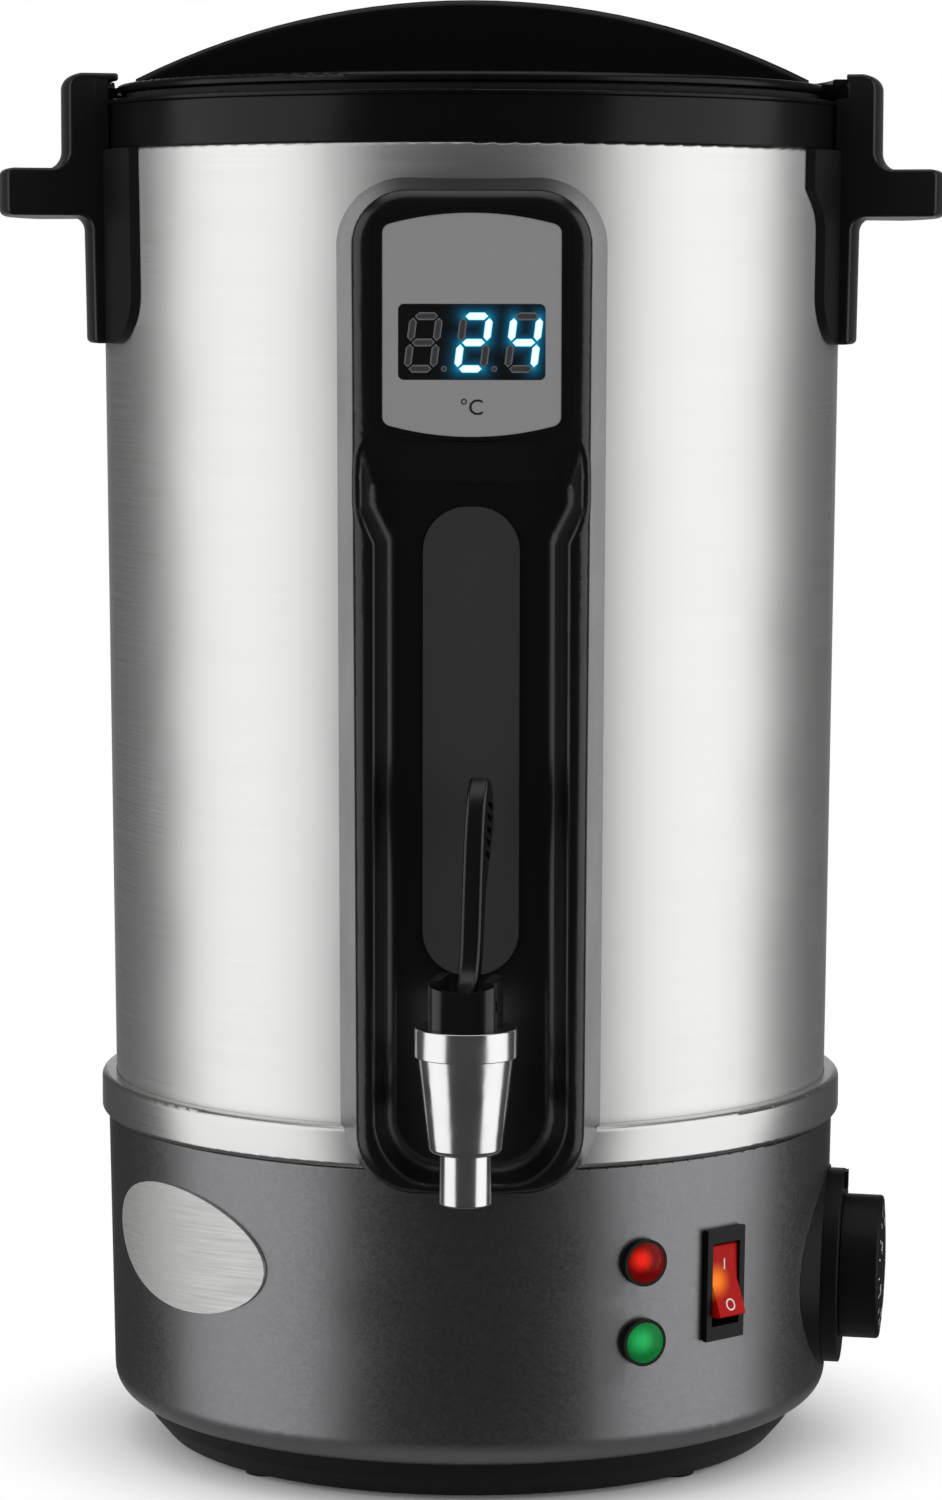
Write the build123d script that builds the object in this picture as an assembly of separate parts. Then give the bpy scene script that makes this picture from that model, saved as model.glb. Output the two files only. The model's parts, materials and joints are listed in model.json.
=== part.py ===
"""Candle wax melter: an 8 litre steel drum on a heated base, with a lever tap and a display column.

Millimetres, +Z up. The origin lies on the floor under the drum's axis, and the front faces -Y.
Every piece of the assembly is its own solid (or group of equal solids) in parts/NAME.step.
An azimuth here is counted from the front (-Y) towards +X, in degrees.
"""
import os
from math import atan, cos, degrees, radians, sin, sqrt

from build123d import *

# ---------------------------------------------------------------- driving dimensions
# stack of heights, from the floor up
PAD_DROP = 1.5  # rubber feet below the foot ring
FOOT_HEIGHT = 10.6  # foot ring below the base shell
BASE_HEIGHT = 81.7  # painted base shell
TRIM_HEIGHT = 11.2  # bright ring
DRUM_HEIGHT = 259.25  # bare drum between the trim ring and the collar
COLLAR_HEIGHT = 13.4
SEAL_GAP = 2.4  # dark line between the collar and the lid's rim
RIM_HEIGHT = 2.4  # edge of the lid
GRIP_RISE = 24.0  # the grip's crown above the lid's rim

# radii of the round body
DRUM_RADIUS = 101.2  # drum at the trim ring
DRUM_FLARE = 2.5  # how much wider the drum is at the collar
SHELL_STEP = 2.2  # base shell outside the drum, at the shell's top
SHELL_DRAFT = 1.5  # how much narrower the shell is at its bottom
TRIM_STEP = 4.1  # trim ring outside the drum
FOOT_INSET = 8.0  # radius of the shell's rounded lower edge
FOOT_TAPER = 6.6  # how much the foot ring draws in towards the floor
SHELL_LIP = 6.0  # shell's lip inside its rounded edge
FOOT_CLEAR = 0.2  # foot ring inside the shell's rounded edge
NECK_STEP = 4.1  # drum's neck inside its shoulder
MOUTH_STEP = 2.1  # collar's opening inside the neck
BEAD_STEP = 0.5  # collar's bead outside the drum's shoulder

# sheet and wall thicknesses
TANK_WALL = 0.8
SHELL_WALL = 1.5
TRIM_WALL = 1.0
LID_WALL = 2.4
COLUMN_WALL = 2.4
BASE_PLATE_THICK = 1.2

# gaps
SEAT = 0.05  # between pieces that are seated on each other
FIT = 0.05  # radial clearance of a shaft in its bore
RUN = 0.3  # between pieces that move past each other

# tank floor and heater
FLOOR_RISE = 2.0  # tank floor above the trim ring's top
FLOOR_SKIRT = 8.5
HEATER_RADIUS = 62.0
HEATER_THICK = 8.0
ELEMENT_RADIUS = 45.0
ELEMENT_TUBE = 3.5
ELEMENT_ARC = 300.0
ELEMENT_LEG = 10.0
TERMINAL_BUSH = 5.0
TERMINAL_DROP = 14.0  # bush and tab below the element's leg
TAB_WIDTH = 6.3
TAB_THICK = 0.8
CUTOUT_RADIUS = 9.0
CUTOUT_HEIGHT = 8.0
CUTOUT_TAB = 7.0
CUTOUT_TAB_X = 5.0
BULB_RADIUS = 3.0
BULB_LENGTH = 45.0
BULB_OFFSET = 25.0
CAPILLARY_RADIUS = 1.0
SHIELD_RADIUS = 58.5
SHIELD_THICK = 0.6
SHIELD_DROP = 26.0  # heat shield below the heater
ROD_CIRCLE = 53.0
ROD_RADIUS = 2.5
ROD_TAIL = 6.0  # rod below the base plate
ROD_GRIP = 5.0  # rod inside the heater
NUT_FLATS = 8.0
NUT_HEIGHT = 4.0
SPACER_RADIUS = 4.5

# front column
COLUMN_TOP_HALF = 35.9
COLUMN_BOTTOM_HALF = 34.5
COLUMN_TOP_INSET = 8.0  # column's top below the collar
COLUMN_BOTTOM_DROP = 18.6  # column's bottom below the drum
COLUMN_SINK = 6.2  # where the column's drafted sides start, inside the drum's foot
COLUMN_DEPTH = 29.5
COLUMN_DRAFT = 10.4
COLUMN_TOP_CORNER = 19.0
COLUMN_BOTTOM_CORNER = 21.0
COLUMN_EDGE = 4.0
CHANNEL_DEPTH = 8.5
CHANNEL_HALF = 21.8  # half of the channel's floor
CHANNEL_CORNER = 15.0
CHANNEL_DRAFT = 20.0
CHANNEL_TOP_DROP = 80.5  # channel's floor below the column's top
CHANNEL_BOTTOM_RISE = 10.0
CHANNEL_COVE = 4.0
CHANNEL_RIM = 1.5
CHANNEL_SPREAD = 4.5  # how much wider each side is under the chin
CHANNEL_SPREAD_DROP = 5.0  # where the wide part ends, below the floor's top
CHANNEL_SHOULDER = 9.0  # height over which it narrows
CHANNEL_SWEEP = 7.0  # rounding of those shoulders
CHIN_HEIGHT = 11.5  # slope from the floor's top to the display's foot
CHIN_CURVE = 5.0
LABEL_BEAD = 0.7
INLAY_HALF = 12.5
INLAY_TOP_DROP = 5.5
INLAY_RISE = 29.25  # inlay's end above the shank's axis
INLAY_CORNER = 11.5
INLAY_THICK = 1.0
BOARD_BOSS = 3.0
COLUMN_BOSS = 12.0  # square boss for the column's screw

# display
LABEL_CENTRE_DROP = 39.3  # label's middle below the column's top
LABEL_HALF_WIDTH = 22.9
LABEL_HEIGHT = 57.0
LABEL_ARCH = 3.3
LABEL_THICK = 0.6
LABEL_POCKET = 0.8
LABEL_CORNER = 2.5
WINDOW_WIDTH = 37.6
WINDOW_HEIGHT = 19.3
WINDOW_DROP = 4.3  # window's middle below the label's
WINDOW_THICK = 1.4
MODULE_DEPTH = 7.6
BOARD_WIDTH = 46.0
BOARD_HEIGHT = 54.0
BOARD_THICK = 1.6
BOARD_STAKE = 1.2
STAKE_TAIL = 0.8  # stakes behind the board
BOARD_STAKE_X = 19.5
BOARD_STAKE_Z = 23.0
SOCKET_WIDTH = 16.0
SOCKET_HEIGHT = 6.0
SOCKET_DEPTH = 5.0
SOCKET_DROP = 19.0  # socket's middle below the label's

# tap
TAP_X = -1.2
TAP_STANDOFF = 34.0  # tap's axis in front of the channel's floor
TAP_RISE = 14.0  # shank's axis above the drum's bottom edge
TAP_YAW = -10.0  # lever and bonnet, turned on the tap's own axis
NOZZLE_RADIUS = 6.6
NOZZLE_LENGTH = 13.3
SPOUT_BORE = 4.6
CONE_FOOT_RADIUS = 9.35
CONE_TOP_RADIUS = 12.15
CONE_LENGTH = 24.8
CUFF_RADIUS = 13.05
CUFF_HEIGHT = 7.55
NOZZLE_DROP = 24.8  # nozzle's mouth below the shank's axis
CHAMBER_RADIUS = 7.6
SHANK_RADIUS = 8.0
SHANK_BORE = 5.0
SHANK_FLANGE = 12.0
SHANK_TAIL = 12.0  # shank inside the tank
BOSS_RADIUS = 8.8
SEAL_THICK = 1.5
LOCK_NUT_FLATS = 24.0
LOCK_NUT_HEIGHT = 6.0
BONNET_WIDTH = 17.5
BONNET_DEPTH = 19.0
BONNET_HEIGHT = 12.5
BONNET_POCKET = 11.2
STEM_RADIUS = 2.0
STEM_HEAD_WIDTH = 10.4
STEM_HEAD_DEPTH = 2.4
STEM_HEAD_THICK = 1.8
PLUG_RADIUS = 6.4
PLUG_HEIGHT = 4.5
SPIGOT_RADIUS = 9.4
SHANK_SOCKET = 14.0  # end of the shank's socket, from the tap's axis
SEAT_RISE = 4.5  # valve seat above the cone's foot
LEVER_ARM = 5.3
LEVER_HUB = 10.6
LEVER_HUB_RADIUS = 2.7
LEVER_RISE = 61.6  # lever's tip above the cuff
LEVER_RIBS = 5
TOE_RADIUS = 1.1
TOE_DROP = 2.9  # toes below the pivot
TOE_GAP = 6.8  # length of the slot between the toes
PIVOT_FORWARD = 5.0
PIVOT_RISE = 6.3  # pivot above the cuff
PIN_RADIUS = 1.25
SPRING_RADIUS = 4.2
SPRING_WIRE = 0.45
SPRING_TURNS = 6

# controls on the base
BADGE_AZIMUTH = -51.1
BADGE_RISE = 52.85  # badge's centre above the shell's bottom
BADGE_HALF_LENGTH = 34.0
BADGE_HALF_HEIGHT = 16.9
BADGE_TILT = -4.1
BADGE_THICK = 0.8
LAMP_AZIMUTH = 26.7
RED_LAMP_RISE = 54.9
GREEN_LAMP_RISE = 33.1
LAMP_BEZEL = 6.4
LAMP_LENS = 5.5
LAMP_BARREL = 4.9
LAMP_LENGTH = 22.0
SWITCH_AZIMUTH = 41.6
SWITCH_RISE = 46.0
SWITCH_WIDTH = 14.0
SWITCH_HEIGHT = 30.6
SWITCH_DEPTH = 24.0
ROCKER_WIDTH = 9.6
ROCKER_HALF = 10.0
ROCKER_TILT = 12.0
ROCKER_PIVOT = -3.0  # pivot behind the shell's face
ROCKER_PIN = 1.0
SWITCH_TABS = (-9.0, 0.0, 9.0)
SWITCH_TAB_LENGTH = 8.0
DIAL_AZIMUTH = 82.0
DIAL_RISE = 39.6
DIAL_SINK = 0.9  # dial ring's back inside the shell's lower radius
DIAL_RADIUS = 27.5
DIAL_THICK = 6.2
KNOB_RADIUS = 20.35
KNOB_LENGTH = 11.0
KNOB_DOME = 1.0
SPINDLE_RADIUS = 3.0
SADDLE_HALF_WIDTH = 35.0
SADDLE_FACE = 2.5  # saddle's face behind the dial ring
DIAL_SCREWS = 12.0  # screws from the dial's middle
DIAL_SCREW = 1.9
THERMOSTAT_TAB_X = 6.0
THERMOSTAT_TAB_DROP = 9.0
THERMOSTAT_TAB_LENGTH = 8.0
THERMOSTAT_WIDTH = 34.0
THERMOSTAT_HEIGHT = 42.0
THERMOSTAT_DEPTH = 26.0

# handles
HANDLE_SPAN = 33.0  # degrees that the grip covers
FLANGE_SPAN = 29.5  # degrees from the middle to the wide end of the flange
NARROW_SPAN = 25.0  # and to its narrow end
HANDLE_DROP = 53.2  # handle's foot below the collar
GRIP_THICK = 12.9
GRIP_DROP = 5.2  # grip's top below the collar
POST_STEP = 11.5  # post outside the drum's shoulder
GRIP_STEP = 28.8
FLANGE_STEP = 5.2
FLANGE_THICK = 2.3
HOOK_STEP = 2.4  # hook's edge inside the drum's shoulder
HOOK_THICK = 2.2
HANDLE_EDGE = 1.0
LUG_CHANNEL = 4.6
LUG_REACH = 6.3  # lug outside the lid's rim
LUG_THICK = 3.0
LUG_SPAN = 9.0
LUG_REST = -8.5  # where the lugs lie with the lid open, from the handles' middle

# lid
RIM_STEP = 3.8  # lid's rim inside the drum's shoulder
DISH_DEPTH = 15.0
DISH_STEP = 11.9  # dish inside the rim
GRIP_WIDTH = 18.0
GRIP_ARCH = 212.0
GRIP_END = 5.9  # bridge's end inside the rim
SKIRT_DEPTH = 7.0
SKIRT_STEP = 2.8  # skirt inside the collar's mouth

# mains inlet, in the back of the shell
INLET_RISE = 33.0
INLET_WIDTH = 24.0
INLET_HEIGHT = 50.0
INLET_SOCKET_WIDTH = 16.5
INLET_SOCKET_HEIGHT = 24.5
INLET_SOCKET_DEPTH = 16.0
INLET_SCREWS = 40.0
INLET_SCREW = 1.5
INLET_BODY = 17.0
INLET_FLANGE = 3.0
INLET_TAIL = 7.0  # pins behind the inlet's body
INLET_PINS = [(-2.0, 0.0), (2.0, 7.0), (2.0, -7.0)]  # earth, line, neutral
FOOT_PADS = 4
PAD_RADIUS = 5.5
PAD_INSET = 7.0  # pad's middle inside the foot ring's edge
PAD_SINK = 3.0

# fixings through the drum
HANDLE_SCREW_TURN = 6.0  # degrees to each side of a handle's middle
SCREW_RADIUS = 1.9
SCREW_REACH = 7.5
SCREW_HEAD = 4.0
SCREW_HEAD_HEIGHT = 2.2
GASKET_RADIUS = 5.5
GASKET_THICK = 0.8
PROBE_AZIMUTH = 12.0
PROBE_RISE = 22.0  # probe above the tap's shank
PROBE_RADIUS = 3.0
PROBE_REACH = 22.0
PROBE_HEAD = 4.0

# leads
LEAD_RADIUS = 1.2
LEAD_BEND = 5.0
LEAD_TIGHT_BEND = 2.6
LEAD_GAP = 0.1  # between a lead's end and what it is soldered or crimped to
LEAD_TAIL = 8.0  # straight end of a lead
LEAD_STEP = 7.8  # leads behind the column, outside the drum's foot
LEAD_DROP = 6.0  # straight drop into the terminal block
LEAD_STAGGER = 3.0
LEAD_OVER_SHIELD = 4.8
LEAD_HOLE = 1.6
HOLE_REACH = 10.0  # cutters to each side of the drum's foot radius
LEAD_HOLE_AZIMUTH = -10.0
LEAD_HOLE_RISE = 2.9  # display lead's hole above the shell's top
TERMINAL_X = -30.0
TERMINAL_Y = 62.0
TERMINAL_LENGTH = 36.0
TERMINAL_WIDTH = 16.0
TERMINAL_STEP = 9.0
TERMINAL_HEIGHT = 14.0
TERMINAL_FIRST = 3.5  # first way, from the block's end
TERMINAL_PITCH = 5.0

# ---------------------------------------------------------------- levels worked out from them
FOOT_Z = PAD_DROP
SHELL_Z = FOOT_Z + FOOT_HEIGHT
TRIM_Z = SHELL_Z + BASE_HEIGHT
DRUM_Z = TRIM_Z + TRIM_HEIGHT
SHOULDER_Z = DRUM_Z + DRUM_HEIGHT
COLLAR_TOP = SHOULDER_Z + COLLAR_HEIGHT
RIM_Z = COLLAR_TOP + SEAL_GAP
RIM_TOP = RIM_Z + RIM_HEIGHT
FLOOR_Z = DRUM_Z + FLOOR_RISE
HEATER_TOP = FLOOR_Z - TANK_WALL - SEAT
HEATER_Z = HEATER_TOP - HEATER_THICK
ELEMENT_Z = HEATER_Z - ELEMENT_TUBE - SEAT
SHIELD_Z = HEATER_Z - SHIELD_DROP
PLATE_Z = SHELL_Z + SHELL_WALL + SEAT
PLATE_TOP = PLATE_Z + BASE_PLATE_THICK

SHOULDER_RADIUS = DRUM_RADIUS + DRUM_FLARE
NECK_RADIUS = SHOULDER_RADIUS - NECK_STEP
MOUTH_RADIUS = NECK_RADIUS - MOUTH_STEP
COLLAR_RADIUS = SHOULDER_RADIUS - 0.2
BEAD_RADIUS = SHOULDER_RADIUS + BEAD_STEP
SHELL_TOP_RADIUS = DRUM_RADIUS + SHELL_STEP
SHELL_LOW_RADIUS = SHELL_TOP_RADIUS - SHELL_DRAFT
TRIM_RADIUS = DRUM_RADIUS + TRIM_STEP
FOOT_RADIUS = SHELL_LOW_RADIUS - FOOT_INSET
SHELL_SLOPE = degrees(atan(SHELL_DRAFT / BASE_HEIGHT))

COLUMN_ROOT = DRUM_RADIUS - COLUMN_SINK
COLUMN_TOP = SHOULDER_Z - COLUMN_TOP_INSET
COLUMN_BOTTOM = DRUM_Z - COLUMN_BOTTOM_DROP
COLUMN_FRONT = -COLUMN_ROOT - COLUMN_DEPTH
CHANNEL_Y = COLUMN_FRONT + CHANNEL_DEPTH
LABEL_Z = COLUMN_TOP - LABEL_CENTRE_DROP
WINDOW_Z = LABEL_Z - WINDOW_DROP
LABEL_Y = COLUMN_FRONT + LABEL_POCKET
MODULE_FRONT = LABEL_Y - LABEL_THICK + WINDOW_THICK + 2 * SEAT
BOARD_Y = MODULE_FRONT + MODULE_DEPTH + SEAT
CHANNEL_TOP = COLUMN_TOP - CHANNEL_TOP_DROP

TAP_REACH = -CHANNEL_Y + TAP_STANDOFF
TAP_Z = DRUM_Z + TAP_RISE
NOZZLE_Z = TAP_Z - NOZZLE_DROP
CONE_Z = NOZZLE_Z + NOZZLE_LENGTH
CUFF_Z = CONE_Z + CONE_LENGTH
CUFF_TOP = CUFF_Z + CUFF_HEIGHT
SEAT_Z = CONE_Z + SEAT_RISE
PIVOT_Z = CUFF_TOP + PIVOT_RISE
HEAD_Z = PIVOT_Z - TOE_DROP + TOE_RADIUS + RUN

RED_LAMP_Z = SHELL_Z + RED_LAMP_RISE
GREEN_LAMP_Z = SHELL_Z + GREEN_LAMP_RISE
SWITCH_Z = SHELL_Z + SWITCH_RISE
DIAL_Z = SHELL_Z + DIAL_RISE
BADGE_Z = SHELL_Z + BADGE_RISE
INLET_Z = SHELL_Z + INLET_RISE
DIAL_SEAT = SHELL_LOW_RADIUS - DIAL_SINK
THERMOSTAT_FRONT = DIAL_SEAT - SADDLE_FACE - SEAT
THERMOSTAT_BACK = THERMOSTAT_FRONT - THERMOSTAT_DEPTH
LEAD_RUN = DRUM_RADIUS + LEAD_STEP
PAD_CIRCLE = FOOT_RADIUS - FOOT_CLEAR - FOOT_TAPER - PAD_INSET

HANDLE_Z = SHOULDER_Z - HANDLE_DROP
GRIP_TOP = SHOULDER_Z - GRIP_DROP
GRIP_Z = GRIP_TOP - GRIP_THICK
LUG_FLOOR = COLLAR_TOP + 0.6
LUG_ROOF = LUG_FLOOR + LUG_CHANNEL
HOOK_TOP = LUG_ROOF + HOOK_THICK
HOOK_RADIUS = SHOULDER_RADIUS - HOOK_STEP
RIM_RADIUS = SHOULDER_RADIUS - RIM_STEP
DISH_RADIUS = RIM_RADIUS - DISH_STEP
LUG_RADIUS = RIM_RADIUS + LUG_REACH
DISH_Z = RIM_TOP - DISH_DEPTH

BASED = (Align.CENTER, Align.CENTER, Align.MIN)


# ---------------------------------------------------------------- helpers
def drum_radius(height):
    """Outer radius of the flared drum at a height."""
    return DRUM_RADIUS + DRUM_FLARE * (height - DRUM_Z) / DRUM_HEIGHT


def shell_radius(height):
    """Outer radius of the drafted base shell at a height."""
    return SHELL_LOW_RADIUS + SHELL_DRAFT * (height - SHELL_Z) / BASE_HEIGHT


def turned(corners, span=360.0):
    """Solid turned about Z from corners (radius, height, rounding), centred on +X if it is a part turn."""
    points = [(radius, 0, height) for radius, height, _ in corners]
    roundings = [rounding for _, _, rounding in corners]
    face = make_face(FilletPolyline(*points, radius=roundings, close=True))
    solid = revolve(face, Axis.Z, span)
    return solid if span == 360.0 else Rot(0, 0, -span / 2) * solid


def outward(azimuth, height, distance=0.0, droop=0.0):
    """Plane that looks out of the body: x to the right, y up, z outwards, tipped down by droop."""
    side, front = sin(radians(azimuth)), -cos(radians(azimuth))
    level = cos(radians(droop))
    normal = (side * level, front * level, -sin(radians(droop)))
    return Plane(origin=(side * distance, front * distance, height), x_dir=(-front, side, 0), z_dir=normal)


def facing(y):
    """Plane that faces the front at a depth, with x to the right and y up."""
    return Plane(origin=(0, y, 0), x_dir=(1, 0, 0), z_dir=(0, -1, 0))


def rod(plane, radius, start, end):
    """Round bar along a plane's normal."""
    return plane.offset(start) * Cylinder(radius, end - start, align=BASED)


def wall_hole(plane, radius):
    """Cutter for a hole through the drum's wall and the trim ring."""
    return rod(plane, radius, DRUM_RADIUS - HOLE_REACH, DRUM_RADIUS + HOLE_REACH)


def block(plane, sketch, start, end):
    """Prism of a sketch along a plane's normal."""
    return extrude(plane.offset(start) * sketch, end - start)


def domed(plane, radius, start, rim, rise):
    """Round body along a plane's normal, whose front bulges by a rise."""
    ball = (radius ** 2 + rise ** 2) / (2 * rise)
    middle = rim + rise - ball + sqrt(ball ** 2 - radius ** 2 / 4)
    outline = Polyline((0, 0, rim + rise), (0, 0, start), (radius, 0, start), (radius, 0, rim))
    outline += ThreePointArc((radius, 0, rim), (radius / 2, 0, middle), (0, 0, rim + rise))
    return plane * revolve(make_face(outline), Axis.Z)


def hexagon(flats):
    """Hexagon with a width across its flats."""
    return RegularPolygon(flats / 2, 6, major_radius=False)


def around(count, start=0.0):
    """Turns about Z that spread equal pieces evenly."""
    return [Rot(0, 0, start + 360.0 * step / count) for step in range(count)]


def body_envelope(gap):
    """Everything inside the shell, trim ring and drum, grown by a gap."""
    return turned([
        (0, SHELL_Z, 0),
        (SHELL_LOW_RADIUS + gap, SHELL_Z, 0),
        (SHELL_TOP_RADIUS + gap, TRIM_Z - gap, 0),
        (TRIM_RADIUS + gap, TRIM_Z - gap, 0),
        (TRIM_RADIUS + gap, DRUM_Z + gap, 0),
        (DRUM_RADIUS + gap, DRUM_Z + gap, 0),
        (SHOULDER_RADIUS + gap, SHOULDER_Z, 0),
        (0, SHOULDER_Z, 0),
    ])


def on_axis(solid):
    """Moves a solid from the drum's axis to the tap's."""
    return Pos(TAP_X, -TAP_REACH, 0) * solid


def on_bonnet(solid):
    """Moves a solid to the tap's axis and turns it with the lever."""
    return Pos(TAP_X, -TAP_REACH, 0) * Rot(0, 0, TAP_YAW) * solid


def on_shell(azimuth, height):
    """Plane that touches the base shell from outside, square to its drafted wall."""
    return outward(azimuth, height, shell_radius(height), SHELL_SLOPE)


# places that several pieces share
DIAL = outward(DIAL_AZIMUTH, DIAL_Z, 0.0, SHELL_SLOPE)
SWITCH = on_shell(SWITCH_AZIMUTH, SWITCH_Z)
RED_LAMP = on_shell(LAMP_AZIMUTH, RED_LAMP_Z)
GREEN_LAMP = on_shell(LAMP_AZIMUTH, GREEN_LAMP_Z)
BADGE = outward(BADGE_AZIMUTH, BADGE_Z)
INLET = on_shell(180, INLET_Z)
SHANK = Plane(origin=(TAP_X, 0, TAP_Z), x_dir=(1, 0, 0), z_dir=(0, -1, 0))
PROBE = outward(PROBE_AZIMUTH, TAP_Z + PROBE_RISE)
LEAD_HOLE_PLANE = outward(LEAD_HOLE_AZIMUTH, TRIM_Z + LEAD_HOLE_RISE)
HANDLE_SCREW_Z = GRIP_Z + GRIP_THICK / 2
COLUMN_SCREW_Z = CHANNEL_TOP + 4.0
BOSS_END = -CHANNEL_Y + SEAL_THICK + 2 * SEAT
SHANK_FRONT = TAP_REACH - SHANK_SOCKET
WALL_Y = sqrt(drum_radius(TAP_Z) ** 2 - TAP_X ** 2)


# ---------------------------------------------------------------- base
def base_shell():
    """Painted sheet shell: drafted wall, ledge at the top, rounded lower edge, and the control cut-outs."""
    ledge = DRUM_RADIUS - 5.0
    lip = FOOT_RADIUS - SHELL_LIP
    inner = FOOT_INSET - SHELL_WALL
    shell = turned([
        (lip, SHELL_Z, 0),
        (SHELL_LOW_RADIUS, SHELL_Z, FOOT_INSET),
        (SHELL_TOP_RADIUS, TRIM_Z, 1.0),
        (ledge, TRIM_Z, 0),
        (ledge, TRIM_Z - SHELL_WALL, 0),
        (SHELL_TOP_RADIUS - SHELL_WALL, TRIM_Z - SHELL_WALL, 0),
        (SHELL_LOW_RADIUS - SHELL_WALL, SHELL_Z + SHELL_WALL, inner),
        (lip, SHELL_Z + SHELL_WALL, 0),
    ])
    for lamp in (RED_LAMP, GREEN_LAMP):
        shell -= rod(lamp, LAMP_BARREL + SEAT, -10, 10)
    shell -= block(SWITCH, Rectangle(SWITCH_WIDTH - 2, SWITCH_HEIGHT - 3), -10, 10)
    shell -= rod(DIAL, DIAL_RADIUS + 0.9, DIAL_SEAT - 12, DIAL_SEAT + 10)
    shell -= block(INLET, Rectangle(INLET_WIDTH - 3, INLET_SOCKET_HEIGHT + 4), -10, 10)
    for side in (-1, 1):
        shell -= INLET * Pos(0, side * INLET_SCREWS / 2) * Cylinder(INLET_SCREW + SEAT, 20)
    return shell


def foot_ring():
    """Moulded ring under the shell: tapered outside, hollow from above, with pockets for the feet."""
    outer = FOOT_RADIUS - FOOT_CLEAR
    upstand = FOOT_RADIUS - SHELL_LIP - SEAT
    low = outer - FOOT_TAPER
    inside = low - 14.0
    ring = turned([
        (inside, FOOT_Z, 0),
        (low, FOOT_Z, 1.0),
        (outer - 1.4, FOOT_Z + 6.0, 6.0),
        (outer, SHELL_Z - SEAT, 0),
        (upstand, SHELL_Z - SEAT, 0),
        (upstand, SHELL_Z + SHELL_WALL, 0),
        (upstand - 2.0, SHELL_Z + SHELL_WALL, 0),
        (upstand - 2.0, FOOT_Z + 6.0, 0),
        (inside + 2.0, FOOT_Z + 6.0, 0),
        (inside + 2.0, SHELL_Z + SHELL_WALL, 0),
        (inside, SHELL_Z + SHELL_WALL, 0),
    ])
    for turn in around(FOOT_PADS, 45):
        ring -= turn * Pos(PAD_CIRCLE, 0, FOOT_Z) * Cylinder(PAD_RADIUS + SEAT, 2 * PAD_SINK)
    return ring


def rubber_feet():
    """Four soft pads let into the foot ring."""
    pad = Cylinder(PAD_RADIUS, PAD_DROP + PAD_SINK - SEAT, align=BASED)
    pad = fillet(pad.edges().group_by(Axis.Z)[0], 0.6)
    return [turn * Pos(PAD_CIRCLE, 0, 0) * pad for turn in around(FOOT_PADS, 45)]


def base_plate():
    """Galvanised bottom plate with rings of cooling slots."""
    plate = Pos(0, 0, PLATE_Z) * Cylinder(FOOT_RADIUS - 1.5, BASE_PLATE_THICK, align=BASED)
    plate -= Pos(0, 0, PLATE_Z) * Cylinder(6.0, 4 * BASE_PLATE_THICK)
    for count, circle in ((10, 28.0), (16, 41.0)):
        slot = Plane.XY.offset(PLATE_Z - 1) * Pos(circle, 0) * SlotOverall(12.0, 4.0)
        cut = extrude(slot, BASE_PLATE_THICK + 2)
        for turn in around(count):
            plate -= turn * cut
    for turn in around(3, 30):
        plate -= turn * Pos(ROD_CIRCLE, 0, PLATE_Z) * Cylinder(ROD_RADIUS + SEAT, 4 * BASE_PLATE_THICK)
    return plate


def tie_rods():
    """Three studs from the heater down through the base plate."""
    start = PLATE_Z - ROD_TAIL
    stud = Pos(ROD_CIRCLE, 0, start) * Cylinder(ROD_RADIUS, HEATER_Z + ROD_GRIP - 0.5 - start, align=BASED)
    return [turn * stud for turn in around(3, 30)]


def tie_rod_nuts():
    """Hexagon nuts that clamp the base plate."""
    nut = extrude(Plane.XY.offset(PLATE_Z - NUT_HEIGHT - SEAT) * hexagon(NUT_FLATS), NUT_HEIGHT)
    nut -= Pos(0, 0, PLATE_Z) * Cylinder(ROD_RADIUS + FIT, 4 * NUT_HEIGHT)
    return [turn * Pos(ROD_CIRCLE, 0, 0) * nut for turn in around(3, 30)]


def shield_spacers():
    """Sleeves on the studs that hold the heat shield off the base plate."""
    start, end = PLATE_TOP + SEAT, SHIELD_Z - SEAT
    sleeve = Pos(0, 0, start) * Cylinder(SPACER_RADIUS, end - start, align=BASED)
    sleeve -= Pos(0, 0, start) * Cylinder(ROD_RADIUS + FIT, 3 * (end - start))
    return [turn * Pos(ROD_CIRCLE, 0, 0) * sleeve for turn in around(3, 30)]


def heat_shield():
    """Thin aluminium disc that keeps the element's heat off the controls."""
    shield = Pos(0, 0, SHIELD_Z) * Cylinder(SHIELD_RADIUS, SHIELD_THICK, align=BASED)
    for turn in around(3, 30):
        shield -= turn * Pos(ROD_CIRCLE, 0, SHIELD_Z) * Cylinder(ROD_RADIUS + SEAT, 4 * SHIELD_THICK)
    for x, y in element_ends():
        shield -= Pos(x, y, SHIELD_Z) * Cylinder(TERMINAL_BUSH + 2.0, 4 * SHIELD_THICK)
    return shield


def trim_ring():
    """Bright rolled ring that hides the joint between drum and base, with the display lead's hole."""
    lip = DRUM_RADIUS + 0.15
    inner = TRIM_RADIUS - TRIM_WALL
    ring = turned([
        (lip, TRIM_Z + SEAT, 0),
        (TRIM_RADIUS, TRIM_Z + SEAT, 1.6),
        (TRIM_RADIUS, DRUM_Z, 1.8),
        (lip, DRUM_Z, 0),
        (lip, DRUM_Z - TRIM_WALL, 0),
        (inner, DRUM_Z - TRIM_WALL, 0.8),
        (inner, TRIM_Z + TRIM_WALL, 0.6),
        (lip, TRIM_Z + TRIM_WALL, 0),
    ])
    return ring - wall_hole(LEAD_HOLE_PLANE, LEAD_HOLE)


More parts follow.
